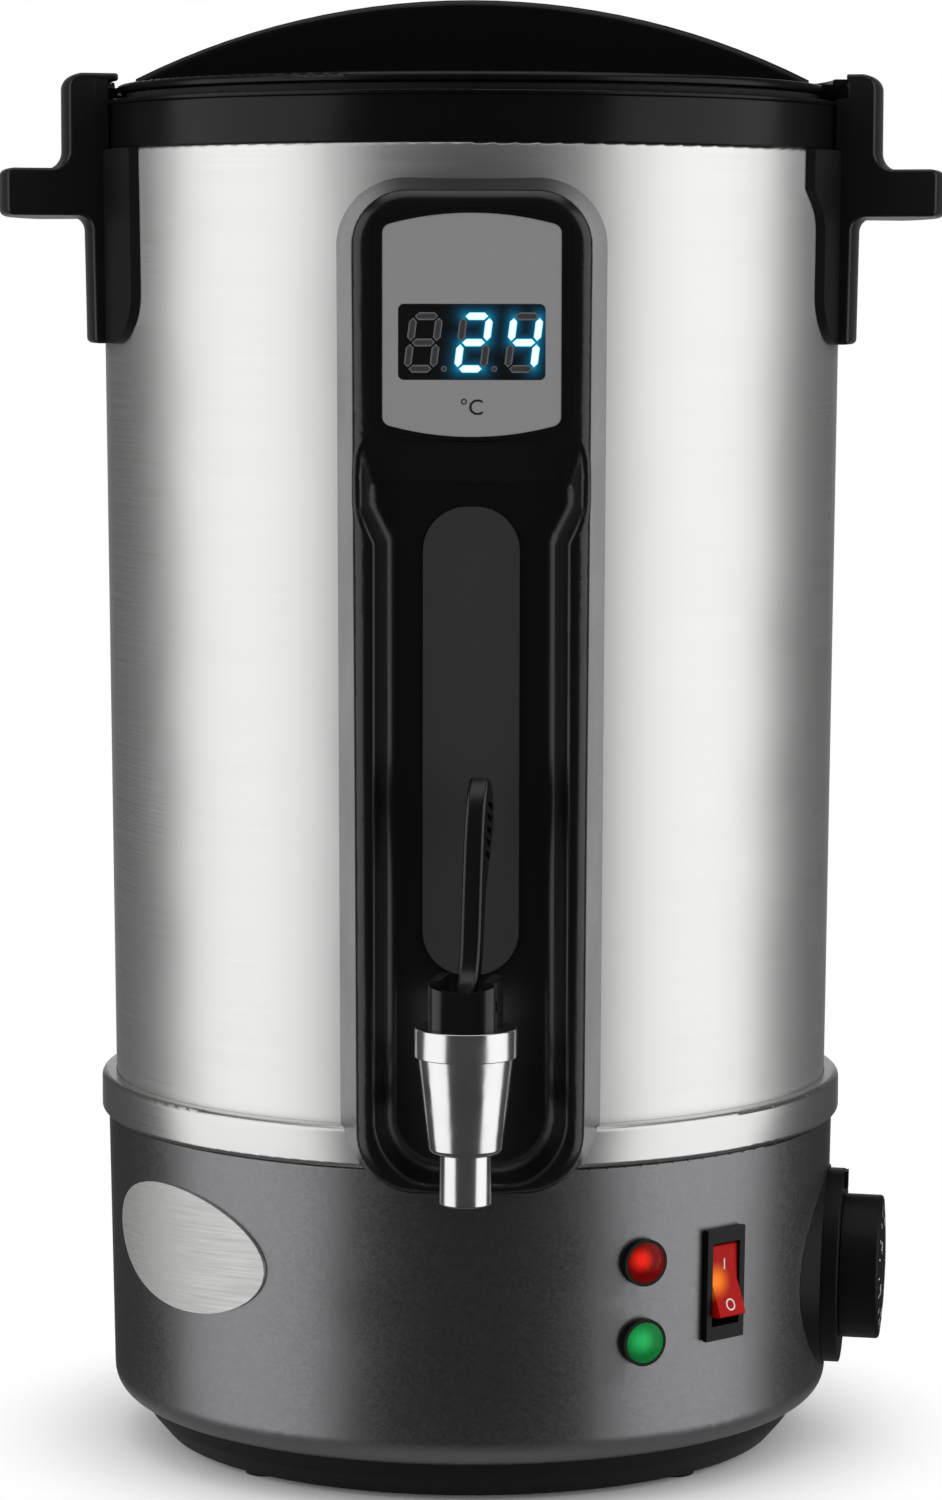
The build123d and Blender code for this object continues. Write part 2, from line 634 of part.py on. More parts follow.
# ---------------------------------------------------------------- tank and heater
def tank_wall():
    """Rolled steel drum: straight foot, flared wall, shoulder and neck, with its screw and tap holes."""
    wall = turned([
        (DRUM_RADIUS, TRIM_Z + SEAT, 0),
        (DRUM_RADIUS, DRUM_Z, 0),
        (SHOULDER_RADIUS, SHOULDER_Z, 1.2),
        (NECK_RADIUS, SHOULDER_Z, 0.3),
        (NECK_RADIUS, COLLAR_TOP - LID_WALL - SEAT, 0),
        (NECK_RADIUS - TANK_WALL, COLLAR_TOP - LID_WALL - SEAT, 0),
        (NECK_RADIUS - TANK_WALL, SHOULDER_Z - TANK_WALL, 1.0),
        (SHOULDER_RADIUS - TANK_WALL, SHOULDER_Z - TANK_WALL, 0.4),
        (DRUM_RADIUS - TANK_WALL, DRUM_Z, 0),
        (DRUM_RADIUS - TANK_WALL, TRIM_Z + SEAT, 0),
    ])
    for plane in wall_screw_planes():
        wall -= wall_hole(plane, SCREW_RADIUS + SEAT)
    wall -= wall_hole(SHANK, SHANK_RADIUS + SEAT)
    wall -= wall_hole(PROBE, PROBE_RADIUS + SEAT)
    return wall - wall_hole(LEAD_HOLE_PLANE, LEAD_HOLE)


def tank_floor():
    """Pressed floor with a skirt that is seamed into the drum."""
    outer = DRUM_RADIUS - TANK_WALL - SEAT
    skirt = FLOOR_Z - FLOOR_SKIRT
    return turned([
        (0, FLOOR_Z - TANK_WALL, 0),
        (outer - TANK_WALL, FLOOR_Z - TANK_WALL, 3.2),
        (outer - TANK_WALL, skirt, 0),
        (outer, skirt, 0),
        (outer, FLOOR_Z, 4.0),
        (0, FLOOR_Z, 0),
    ])


def heater_plate():
    """Cast aluminium disc pressed to the tank floor."""
    plate = Pos(0, 0, HEATER_Z) * Cylinder(HEATER_RADIUS, HEATER_THICK, align=BASED)
    plate = fillet(plate.edges().group_by(Axis.Z)[0], 1.0)
    for turn in around(3, 30):
        plate -= turn * Pos(ROD_CIRCLE, 0, HEATER_Z) * Cylinder(ROD_RADIUS + FIT, 2 * ROD_GRIP)
    return plate


def element_ends():
    """Places of the element's two legs, at the back of the ring."""
    half = radians((360.0 - ELEMENT_ARC) / 2)
    return [(side * ELEMENT_RADIUS * sin(half), ELEMENT_RADIUS * cos(half)) for side in (-1, 1)]


def heating_element():
    """Sheathed tube bent to an open ring, with two legs turned down."""
    section = Plane.XZ * Pos(ELEMENT_RADIUS, ELEMENT_Z) * Circle(ELEMENT_TUBE)
    ring = Rot(0, 0, 90 + (360 - ELEMENT_ARC) / 2) * revolve(section, Axis.Z, ELEMENT_ARC)
    for x, y in element_ends():
        ring += Pos(x, y, ELEMENT_Z) * Sphere(ELEMENT_TUBE)
        ring += Pos(x, y, ELEMENT_Z - ELEMENT_LEG) * Cylinder(ELEMENT_TUBE, ELEMENT_LEG, align=BASED)
    return ring


def element_terminals():
    """Ceramic bush and tab on each leg."""
    top = ELEMENT_Z - ELEMENT_LEG - SEAT
    terminals = []
    for x, y in element_ends():
        bush = Pos(x, y, top - 6.0) * Cylinder(TERMINAL_BUSH, 6.0, align=BASED)
        bush += Pos(x, y, top - TERMINAL_DROP) * Box(TAB_WIDTH, TAB_THICK, 9.0, align=BASED)
        terminals.append(bush)
    return terminals


def thermal_cutout():
    """Bimetal safety switch under the middle of the heater."""
    top = HEATER_Z - SEAT
    body = Pos(0, 0, top - CUTOUT_HEIGHT) * Cylinder(CUTOUT_RADIUS, CUTOUT_HEIGHT, align=BASED)
    body += Pos(0, 0, top - 1.0) * Box(2.8 * CUTOUT_RADIUS, 8.0, 1.0, align=BASED)
    for side in (-1, 1):
        tab = Box(TAB_THICK, TAB_WIDTH, CUTOUT_TAB + 1.0, align=BASED)
        body += Pos(side * CUTOUT_TAB_X, 0, top - CUTOUT_HEIGHT - CUTOUT_TAB) * tab
    return body


def thermostat_bulb():
    """Liquid bulb under the heater and the capillary tube that leads to the thermostat."""
    bulb_z = HEATER_Z - BULB_RADIUS - SEAT
    start = -BULB_LENGTH / 2 - 2.5
    axis = Plane(origin=(start, -BULB_OFFSET, bulb_z), x_dir=(0, 1, 0), z_dir=(1, 0, 0))
    bulb = rod(axis, BULB_RADIUS, 0, BULB_LENGTH)
    bend = 5.0
    path = FilletPolyline(
        (start + BULB_LENGTH - 1.0, -BULB_OFFSET, bulb_z),
        (start + BULB_LENGTH + 6.0, -BULB_OFFSET, bulb_z),
        (start + BULB_LENGTH + 9.0, -BULB_OFFSET, ELEMENT_Z - 2.8 * ELEMENT_TUBE),
        (THERMOSTAT_BACK + 6.0, -BULB_OFFSET + 6.0, ELEMENT_Z - 2.8 * ELEMENT_TUBE),
        (THERMOSTAT_BACK + 6.0, -BULB_OFFSET + 6.0, DIAL_Z + THERMOSTAT_HEIGHT / 2 + 1.5),
        radius=[2.0, 2.0, bend],
    )
    bulb += sweep(Plane(origin=path @ 0, z_dir=path % 0) * Circle(CAPILLARY_RADIUS), path=path)
    return bulb


# ---------------------------------------------------------------- fixings through the drum
def wall_screw_planes():
    """Planes on the drum's axis whose normals run through each screw in the drum's wall."""
    planes = []
    for middle in (-90, 90):
        for turn in (-HANDLE_SCREW_TURN, HANDLE_SCREW_TURN):
            planes.append(outward(middle + turn, HANDLE_SCREW_Z))
    return planes + [outward(0, COLUMN_SCREW_Z)]


def wall_screw(plane):
    """Pan-head screw put in from inside the drum."""
    wall = drum_radius(plane.origin.Z) - TANK_WALL - GASKET_THICK - 2 * SEAT
    head = rod(plane, SCREW_HEAD, wall - SCREW_HEAD_HEIGHT, wall)
    rims = head.edges().filter_by(GeomType.CIRCLE)
    head = fillet(rims.sort_by_distance(plane.origin)[0], 1.2)
    return head + rod(plane, SCREW_RADIUS, wall - 0.1, drum_radius(plane.origin.Z) + SCREW_REACH)


def wall_screws():
    """Equal screws that hold the two handles and the column."""
    return [wall_screw(plane) for plane in wall_screw_planes()]


def screw_gaskets():
    """Silicone washers that keep the screw holes tight."""
    rings = []
    inside = body_envelope(-TANK_WALL - SEAT)
    for plane in wall_screw_planes():
        wall = drum_radius(plane.origin.Z) - TANK_WALL - SEAT
        ring = rod(plane, GASKET_RADIUS, wall - GASKET_THICK, wall + 1)
        ring -= rod(plane, SCREW_RADIUS + SEAT, wall - 5, wall + 5)
        rings.append(ring & inside)
    return rings


def temperature_probe():
    """Sensor sheath through the drum's wall, with its hexagon head outside."""
    wall = drum_radius(PROBE.origin.Z)
    probe = rod(PROBE, PROBE_RADIUS, wall - PROBE_REACH, wall + 1.0)
    rims = probe.edges().filter_by(GeomType.CIRCLE)
    probe = fillet(rims.sort_by_distance(PROBE.origin)[0], 2.0)
    probe += block(PROBE, hexagon(9.0), wall + 0.6, wall + PROBE_HEAD)
    return probe


def probe_nut():
    """Nut on the probe inside the tank."""
    wall = drum_radius(PROBE.origin.Z) - TANK_WALL - 0.3
    nut = block(PROBE, hexagon(10.0), wall - 3.5, wall)
    return nut - rod(PROBE, PROBE_RADIUS + FIT, wall - 10, wall + 10)


# ---------------------------------------------------------------- collar, handles and lid
def collar():
    """Black ring over the drum's neck, with a bead at its top edge."""
    return turned([
        (NECK_RADIUS + SEAT, SHOULDER_Z + SEAT, 0.8),
        (COLLAR_RADIUS, SHOULDER_Z + SEAT, 0.4),
        (COLLAR_RADIUS, COLLAR_TOP - 1.4, 0.6),
        (BEAD_RADIUS, COLLAR_TOP - 1.0, 0.3),
        (BEAD_RADIUS, COLLAR_TOP, 0.4),
        (MOUTH_RADIUS, COLLAR_TOP, 0.6),
        (MOUTH_RADIUS, COLLAR_TOP - LID_WALL, 0),
        (NECK_RADIUS + SEAT, COLLAR_TOP - LID_WALL, 0),
    ])


def handle_section():
    """Cross-section corners of a handle: flange, grip, post and the lug channel under the hook."""
    flange = SHOULDER_RADIUS + FLANGE_STEP
    grip = SHOULDER_RADIUS + GRIP_STEP
    post = SHOULDER_RADIUS + POST_STEP
    channel = LUG_RADIUS + 1.0
    return [
        (drum_radius(HANDLE_Z) + SEAT, HANDLE_Z, 0),
        (flange - 0.6, HANDLE_Z, 1.5),
        (flange, GRIP_Z, 4.0),
        (grip, GRIP_Z, 2.0),
        (grip, GRIP_TOP, 2.0),
        (post, GRIP_TOP, 5.0),
        (post, HOOK_TOP, 4.0),
        (HOOK_RADIUS, HOOK_TOP, 0.8),
        (HOOK_RADIUS, LUG_ROOF, 0.8),
        (channel, LUG_ROOF, 0.5),
        (channel, LUG_FLOOR, 0),
        (BEAD_RADIUS + SEAT, LUG_FLOOR, 0),
        (BEAD_RADIUS + SEAT, SHOULDER_Z, 0),
        (SHOULDER_RADIUS + SEAT, SHOULDER_Z, 0),
    ]


def handle():
    """Right-hand handle: hooked at the back half of its head, open at the front half."""
    grip = turned(handle_section(), HANDLE_SPAN)
    flat = grip.faces().filter_by(GeomType.PLANE)
    ends = [face for face in flat if abs(face.normal_at().Z) < 0.5]
    rims = [edge for face in ends for edge in face.edges()]
    grip = fillet([edge for edge in rims if edge.center().X > SHOULDER_RADIUS + FLANGE_STEP], HANDLE_EDGE)
    half = HANDLE_SPAN / 2
    notch = turned([
        (HOOK_RADIUS - 2, LUG_ROOF - 1, 0),
        (LUG_RADIUS + 1.0, LUG_ROOF - 1, 0),
        (LUG_RADIUS + 1.0, HOOK_TOP + 1, 0),
        (HOOK_RADIUS - 2, HOOK_TOP + 1, 0),
    ], half + 2)
    grip -= Rot(0, 0, -half / 2 - 1) * notch
    stop = turned([
        (BEAD_RADIUS + SEAT, LUG_FLOOR - 0.5, 0),
        (LUG_RADIUS + 1.5, LUG_FLOOR - 0.5, 0),
        (LUG_RADIUS + 1.5, LUG_ROOF + 0.5, 0),
        (BEAD_RADIUS + SEAT, LUG_ROOF + 0.5, 0),
    ], 2.0)
    grip += Rot(0, 0, half - 1) * stop
    grip += handle_flange()
    for turn in (-HANDLE_SCREW_TURN, HANDLE_SCREW_TURN):
        bore = outward(90 + turn, HANDLE_SCREW_Z)
        grip -= rod(bore, SCREW_RADIUS + FIT, 0, drum_radius(HANDLE_SCREW_Z) + SCREW_REACH + 0.5)
    return grip


def handle_flange():
    """Thin wing that wraps the drum, wide at the hooked end and narrow below the open one."""
    wing = turned([
        (drum_radius(HANDLE_Z) + SEAT, HANDLE_Z, 0),
        (drum_radius(HANDLE_Z) + FLANGE_THICK, HANDLE_Z, 0.6),
        (SHOULDER_RADIUS + FLANGE_THICK, SHOULDER_Z, 0.6),
        (SHOULDER_RADIUS + SEAT, SHOULDER_Z, 0),
    ], 2 * FLANGE_SPAN + 4)
    wide = SHOULDER_RADIUS * sin(radians(FLANGE_SPAN))
    narrow = SHOULDER_RADIUS * sin(radians(NARROW_SPAN))
    ear = SHOULDER_Z - 11.0
    outline = FilletPolyline(
        (0, -narrow, HANDLE_Z),
        (0, wide, HANDLE_Z),
        (0, wide, SHOULDER_Z + 1),
        (0, -wide, SHOULDER_Z + 1),
        (0, -wide, ear),
        (0, -narrow, ear - 8.0),
        radius=[14.0, 14.0, 0, 0, 1.0, 10.0],
        close=True,
    )
    mask = extrude(make_face(outline), 2 * SHOULDER_RADIUS, dir=(1, 0, 0))
    return wing & mask


def lid():
    """Lid: rim, dished top, hollow bridging grip, skirt for the seal and two locking lugs."""
    skirt = MOUTH_RADIUS - SKIRT_STEP
    dish_low = DISH_Z - LID_WALL
    cover = turned([
        (0, dish_low, 0),
        (DISH_RADIUS, dish_low, 3.0),
        (DISH_RADIUS + 1.5, RIM_Z - 0.6, 0),
        (skirt - LID_WALL, RIM_Z - 0.6, 0),
        (skirt - LID_WALL, COLLAR_TOP - SKIRT_DEPTH, 0),
        (skirt, COLLAR_TOP - SKIRT_DEPTH, 0.4),
        (skirt, RIM_Z, 0),
        (RIM_RADIUS, RIM_Z, 0.5),
        (RIM_RADIUS, RIM_TOP, 1.6),
        (DISH_RADIUS + 1.0, RIM_TOP, 1.5),
        (DISH_RADIUS - LID_WALL, DISH_Z, 2.5),
        (0, DISH_Z, 0),
    ])
    cover += lid_grip(0.0)
    cover -= lid_grip(LID_WALL)
    root = RIM_RADIUS - 0.9
    lug = turned([
        (root, RIM_Z - 0.5, 0),
        (LUG_RADIUS, RIM_Z - 0.5, 0.6),
        (LUG_RADIUS, RIM_Z - 0.5 + LUG_THICK, 0.6),
        (root, RIM_Z - 0.5 + LUG_THICK, 0),
    ], LUG_SPAN)
    for half_turn in (0, 180):
        cover += Rot(0, 0, half_turn + LUG_REST) * lug
    return cover


def lid_grip(wall):
    """The bridge across the lid, shrunk by a wall; with a wall it is the hollow that opens downwards."""
    crown = RIM_TOP + GRIP_RISE - wall
    arch = GRIP_ARCH - wall
    foot = DISH_Z - (LID_WALL + 1.0 if wall else 0.5)
    half = RIM_RADIUS - GRIP_END - 2 * wall
    end = crown - arch + sqrt(arch ** 2 - half ** 2)
    outline = Polyline((-half, 0, end), (-half, 0, foot), (half, 0, foot), (half, 0, end))
    outline += ThreePointArc((-half, 0, end), (0, 0, crown), (half, 0, end))
    width = GRIP_WIDTH / 2 - wall
    bridge = extrude(make_face(outline), width, dir=(0, 1, 0), both=True)
    if not wall:
        crest = bridge.edges().filter_by(GeomType.CIRCLE)
        bridge = fillet(crest, 2.5)
    ring = DISH_RADIUS + 1.0 if wall == 0 else DISH_RADIUS - 1.5 * wall
    bowl = Cylinder(RIM_RADIUS - 2.5 if wall == 0 else ring, 2 * crown)
    return bridge & bowl


def lid_seal():
    """Silicone ring between lid and collar, with a lip inside the collar's mouth."""
    lip = MOUTH_RADIUS - RUN
    inside = MOUTH_RADIUS - SKIRT_STEP + RUN
    return turned([
        (inside, COLLAR_TOP - SKIRT_DEPTH + 0.5, 0.3),
        (lip, COLLAR_TOP - SKIRT_DEPTH + 0.5, 0.6),
        (lip, COLLAR_TOP + SEAT, 0.2),
        (RIM_RADIUS - 1.2, COLLAR_TOP + SEAT, 0.4),
        (RIM_RADIUS - 1.2, RIM_Z - RUN, 0.4),
        (inside, RIM_Z - RUN, 0),
    ])


# ---------------------------------------------------------------- column and display
def column_outline(inset):
    """Front outline of the column at its root, drawn in by an inset."""
    top, bottom = COLUMN_TOP - inset, COLUMN_BOTTOM + inset
    top_half, bottom_half = COLUMN_TOP_HALF - inset, COLUMN_BOTTOM_HALF - inset
    upper, lower = COLUMN_TOP_CORNER - inset, COLUMN_BOTTOM_CORNER - inset
    path = FilletPolyline(
        (-bottom_half, bottom),
        (bottom_half, bottom),
        (top_half, top),
        (-top_half, top),
        radius=[lower, lower, upper, upper],
        close=True,
    )
    return make_face(path)


def channel_outline(inset):
    """Front outline of the channel's floor: round-ended below, spreading into shoulders under the chin."""
    bottom = COLUMN_BOTTOM + CHANNEL_BOTTOM_RISE - inset
    high = CHANNEL_TOP - CHANNEL_SPREAD_DROP
    low = high - CHANNEL_SHOULDER
    top = CHANNEL_TOP + CHIN_HEIGHT + CHANNEL_DEPTH
    half = CHANNEL_HALF + inset
    wide = half + CHANNEL_SPREAD
    round_end = CHANNEL_CORNER + inset
    inner, outer = CHANNEL_SWEEP, CHANNEL_SWEEP - inset
    path = FilletPolyline(
        (-half, bottom),
        (half, bottom),
        (half, low),
        (wide, high),
        (wide, top),
        (-wide, top),
        (-wide, high),
        (-half, low),
        radius=[round_end, round_end, inner, outer, 0, 0, outer, inner],
        close=True,
    )
    return make_face(path)


def channel_block(inset):
    """The hollow in front of the column's lower part, or that hollow grown by a wall."""
    floor, front = CHANNEL_Y + inset, COLUMN_FRONT - 2.0
    top = CHANNEL_TOP + inset
    slope = CHIN_HEIGHT / CHANNEL_DEPTH
    channel = extrude(facing(floor) * channel_outline(inset), floor - front, taper=-CHANNEL_DRAFT)
    side = FilletPolyline(
        (0, front, 0),
        (0, floor, 0),
        (0, floor, top),
        (0, front, top + slope * (floor - front)),
        radius=[0, 0, CHIN_CURVE, 0],
        close=True,
    )
    channel &= extrude(make_face(side), 2 * COLUMN_TOP_HALF, dir=(1, 0, 0), both=True)
    back = channel.faces().filter_by(Axis.Y).sort_by(Axis.Y)[-1]
    return fillet(back.edges(), CHANNEL_COVE)


def label_outline(grow):
    """Label with straight sides and arched ends."""
    half = LABEL_HALF_WIDTH + grow
    crown = LABEL_HEIGHT / 2 + grow
    corner = crown - LABEL_ARCH
    top = ThreePointArc((-half, corner), (0, crown), (half, corner))
    bottom = ThreePointArc((half, -corner), (0, -crown), (-half, -corner))
    sides = Line((half, corner), (half, -corner)) + Line((-half, -corner), (-half, corner))
    face = make_face(top + bottom + sides)
    return fillet(face.vertices(), LABEL_CORNER + grow)


def front_column():
    """Moulded housing: drafted sides, display plateau, tap channel, all hollow and open at the back."""
    outside = extrude(facing(-COLUMN_ROOT) * column_outline(0.0), COLUMN_DEPTH, taper=COLUMN_DRAFT)
    outside = fillet(outside.faces().sort_by(Axis.Y)[0].edges(), COLUMN_EDGE)
    channel = channel_block(0.0)
    column = outside - channel
    column = fillet(new_edges(outside, channel, combined=column), CHANNEL_RIM)
    hollow = extrude(facing(-COLUMN_ROOT) * column_outline(COLUMN_WALL), COLUMN_DEPTH - COLUMN_WALL,
                     taper=COLUMN_DRAFT)
    hollow -= channel_block(COLUMN_WALL)
    column -= hollow
    boss = BOARD_Y - COLUMN_FRONT - 1.0
    for x in (-BOARD_STAKE_X, BOARD_STAKE_X):
        for z in (-BOARD_STAKE_Z, BOARD_STAKE_Z):
            place = Pos(x, LABEL_Z + z)
            column += facing(BOARD_Y - SEAT) * place * Cylinder(BOARD_BOSS, boss, align=BASED)
            stake = facing(BOARD_Y + BOARD_THICK + STAKE_TAIL) * place
            column += stake * Cylinder(BOARD_STAKE, boss, align=BASED)
    boss = Pos(0, COLUMN_SCREW_Z) * Rectangle(COLUMN_BOSS, COLUMN_BOSS)
    column += block(facing(-COLUMN_ROOT), boss, 0, -CHANNEL_Y - COLUMN_ROOT)
    bead = label_outline(1.4 + LABEL_BEAD) - label_outline(1.4)
    column += block(facing(COLUMN_FRONT + 0.2), Pos(0, LABEL_Z) * bead, 0, 0.6)
    column -= block(facing(LABEL_Y), Pos(0, LABEL_Z) * label_outline(SEAT), 0, 5)
    window = Pos(0, WINDOW_Z) * RectangleRounded(WINDOW_WIDTH + 0.4, WINDOW_HEIGHT + 0.4, 1.6)
    column -= block(facing(COLUMN_FRONT + 6), window, 0, 10)
    column -= rod(SHANK, SHANK_RADIUS + 0.2, 0, TAP_REACH)
    screw_end = drum_radius(COLUMN_SCREW_Z) + SCREW_REACH + 0.5
    column -= rod(outward(0, COLUMN_SCREW_Z), SCREW_RADIUS + FIT, COLUMN_ROOT, screw_end)
    return column - body_envelope(SEAT)


def label_plate():
    """Printed silver plate with the display's opening."""
    plate = block(facing(LABEL_Y - SEAT), Pos(0, LABEL_Z) * label_outline(0.0), 0, LABEL_THICK)
    opening = Pos(0, WINDOW_Z) * RectangleRounded(WINDOW_WIDTH + 2 * SEAT, WINDOW_HEIGHT + 2 * SEAT, 1.5)
    return plate - block(facing(LABEL_Y + 5), opening, 0, 10)


def display_window():
    """Dark filter in front of the digits."""
    pane = Pos(0, WINDOW_Z) * RectangleRounded(WINDOW_WIDTH, WINDOW_HEIGHT, 1.5)
    return block(facing(LABEL_Y - LABEL_THICK + WINDOW_THICK), pane, 0, WINDOW_THICK)


def display_module():
    """Three-digit LED block behind the filter."""
    box = Pos(0, WINDOW_Z) * RectangleRounded(WINDOW_WIDTH - 0.4, WINDOW_HEIGHT - 0.4, 1.2)
    return block(facing(MODULE_FRONT + MODULE_DEPTH), box, 0, MODULE_DEPTH)


def display_board():
    """Circuit board on the column's stakes, with capacitor, driver and lead socket soldered to it."""
    board = block(facing(BOARD_Y + BOARD_THICK), Pos(0, LABEL_Z) * Rectangle(BOARD_WIDTH, BOARD_HEIGHT),
                  0, BOARD_THICK)
    for x in (-BOARD_STAKE_X, BOARD_STAKE_X):
        for z in (-BOARD_STAKE_Z, BOARD_STAKE_Z):
            board -= facing(BOARD_Y + 5) * Pos(x, LABEL_Z + z) * Cylinder(BOARD_STAKE + SEAT, 10, align=BASED)
    behind = Plane(origin=(0, BOARD_Y + BOARD_THICK, LABEL_Z), x_dir=(-1, 0, 0), z_dir=(0, 1, 0))
    capacitor = behind * Pos(-8, 12, -0.1) * Cylinder(3.5, 6.0, align=BASED)
    chip = behind * Pos(2, -4, -0.1) * Box(18.0, 7.5, 2.6, align=BASED)
    socket = behind * Pos(0, -SOCKET_DROP, -0.1) * Box(SOCKET_WIDTH, SOCKET_HEIGHT, SOCKET_DEPTH, align=BASED)
    return board + capacitor + chip + socket


def channel_inlay():
    """Dark satin strip glued in the channel."""
    top = CHANNEL_TOP - INLAY_TOP_DROP
    bottom = TAP_Z + INLAY_RISE
    strip = Pos(0, (top + bottom) / 2) * RectangleRounded(2 * INLAY_HALF, top - bottom, INLAY_CORNER)
    return block(facing(CHANNEL_Y - SEAT), strip, 0, INLAY_THICK)


# ---------------------------------------------------------------- tap
def tap_body():
    """Chromed casting: nozzle, cone, cuff, valve chamber and the boss for the shank."""
    body = on_axis(turned([
        (0, NOZZLE_Z, 0),
        (NOZZLE_RADIUS, NOZZLE_Z, 0.6),
        (NOZZLE_RADIUS, CONE_Z, 0),
        (CONE_FOOT_RADIUS, CONE_Z, 1.8),
        (CONE_TOP_RADIUS, CUFF_Z, 0),
        (CUFF_RADIUS, CUFF_Z, 0.3),
        (CUFF_RADIUS, CUFF_TOP, 0.4),
        (0, CUFF_TOP, 0),
    ]))
    body += rod(SHANK, BOSS_RADIUS, BOSS_END, TAP_REACH)
    body -= on_axis(turned([
        (0, NOZZLE_Z - 1, 0),
        (SPOUT_BORE, NOZZLE_Z - 1, 0),
        (SPOUT_BORE, SEAT_Z, 0),
        (CHAMBER_RADIUS, SEAT_Z, 0),
        (CHAMBER_RADIUS, CUFF_Z - 4.0, 0),
        (SPIGOT_RADIUS + FIT, CUFF_Z - 4.0, 0),
        (SPIGOT_RADIUS + FIT, CUFF_TOP + 1, 0),
        (0, CUFF_TOP + 1, 0),
    ]))
    body -= rod(SHANK, SHANK_BORE, BOSS_END - 1, TAP_REACH - CHAMBER_RADIUS + 2)
    return body - rod(SHANK, SHANK_RADIUS + FIT, BOSS_END - 1, SHANK_FRONT + SEAT)


def tap_shank():
    """Threaded tube from the tap through the column and the drum's wall."""
    flange = WALL_Y + SEAL_THICK + 0.7
    shank = rod(SHANK, SHANK_RADIUS, WALL_Y - SHANK_TAIL, SHANK_FRONT)
    shank += rod(SHANK, SHANK_FLANGE, flange, flange + 2.5)
    return shank - rod(SHANK, SHANK_BORE, 0, TAP_REACH)


def column_seal():
    """Washer between the tap's boss and the column."""
    washer = rod(SHANK, BOSS_RADIUS + 0.6, -CHANNEL_Y + SEAT, -CHANNEL_Y + SEAT + SEAL_THICK)
    return washer - rod(SHANK, SHANK_RADIUS + SEAT, 0, TAP_REACH)


def outer_tank_seal():
    """Silicone seal outside the drum, moulded to its curve."""
    flange = WALL_Y + SEAL_THICK + 0.7 - SEAT
    seal = rod(SHANK, SHANK_FLANGE, WALL_Y - 3, flange) - rod(SHANK, SHANK_RADIUS + SEAT, 0, TAP_REACH)
    return seal - body_envelope(SEAT)


def inner_tank_seal():
    """Silicone seal inside the drum, moulded to its curve."""
    inside = drum_radius(TAP_Z - SHANK_FLANGE) - TANK_WALL - SEAT
    start = sqrt(inside ** 2 - SHANK_FLANGE ** 2) - SEAL_THICK
    seal = rod(SHANK, SHANK_FLANGE, start, WALL_Y) - rod(SHANK, SHANK_RADIUS + SEAT, 0, TAP_REACH)
    return seal & body_envelope(-TANK_WALL - SEAT)


def tap_lock_nut():
    """Large nut on the shank, inside the tank."""
    inside = drum_radius(TAP_Z - SHANK_FLANGE) - TANK_WALL - SEAT
    end = sqrt(inside ** 2 - SHANK_FLANGE ** 2) - SEAL_THICK - SEAT
    nut = block(SHANK, hexagon(LOCK_NUT_FLATS), end - LOCK_NUT_HEIGHT, end)
    return nut - rod(SHANK, SHANK_RADIUS + FIT, 0, TAP_REACH)


def tap_bonnet():
    """Black cap in the cuff: spigot, guide for the stem and two ears for the lever's pin."""
    half = BONNET_DEPTH / 2
    ears = Pos(0, 0, CUFF_TOP + SEAT) * Box(BONNET_WIDTH, BONNET_DEPTH, BONNET_HEIGHT, align=BASED)
    ears = fillet(ears.edges().filter_by(Axis.Z), 5.0)
    ears = fillet(ears.edges().group_by(Axis.Z)[-1], 0.8)
    guide_top = PIVOT_Z - TOE_DROP - TOE_RADIUS - 0.6
    pocket_front = PIVOT_FORWARD + LEVER_HUB_RADIUS + RUN
    pocket = Pos(0, BONNET_DEPTH / 2 - pocket_front, guide_top) * Box(
        BONNET_POCKET, BONNET_DEPTH, 2 * BONNET_HEIGHT, align=BASED)
    ears -= pocket
    saddle_radius = 26.0
    front_rim = CUFF_TOP + BONNET_HEIGHT - 2.6
    saddle = Plane.XZ.offset(half + 1) * Pos(0, front_rim + saddle_radius) * Circle(saddle_radius)
    ears -= extrude(saddle, -4.0)
    bonnet = ears + Pos(0, 0, CUFF_Z - 3.0) * Cylinder(SPIGOT_RADIUS, CUFF_HEIGHT + 3.2, align=BASED)
    bonnet -= Pos(0, 0, CUFF_Z - 4.0) * Cylinder(SPRING_RADIUS + 1.0, CUFF_HEIGHT + 1.0, align=BASED)
    bonnet -= Pos(0, 0, CUFF_Z) * Cylinder(STEM_RADIUS + FIT, 60)
    bonnet -= Plane.YZ * Pos(-PIVOT_FORWARD, PIVOT_Z) * Cylinder(PIN_RADIUS + FIT, 2 * BONNET_WIDTH)
    return on_bonnet(bonnet)


def valve_stem():
    """Steel stem with the head that the lever lifts."""
    stem = Pos(0, 0, SEAT_Z + 2.0 + SEAT) * Cylinder(STEM_RADIUS, HEAD_Z - SEAT_Z - 1.5, align=BASED)
    head = Pos(0, 0.4, HEAD_Z) * Box(STEM_HEAD_WIDTH, STEM_HEAD_DEPTH + 0.8, STEM_HEAD_THICK, align=BASED)
    return on_bonnet(stem + head)


def seat_plug():
    """Silicone plug that closes the spout's seat."""
    plug = Pos(0, 0, SEAT_Z + SEAT) * Cylinder(PLUG_RADIUS, PLUG_HEIGHT, align=BASED)
    plug = chamfer(plug.edges().group_by(Axis.Z)[-1], 1.2)
    plug -= Pos(0, 0, SEAT_Z + 2.0) * Cylinder(STEM_RADIUS, 20, align=BASED)
    return on_bonnet(plug)


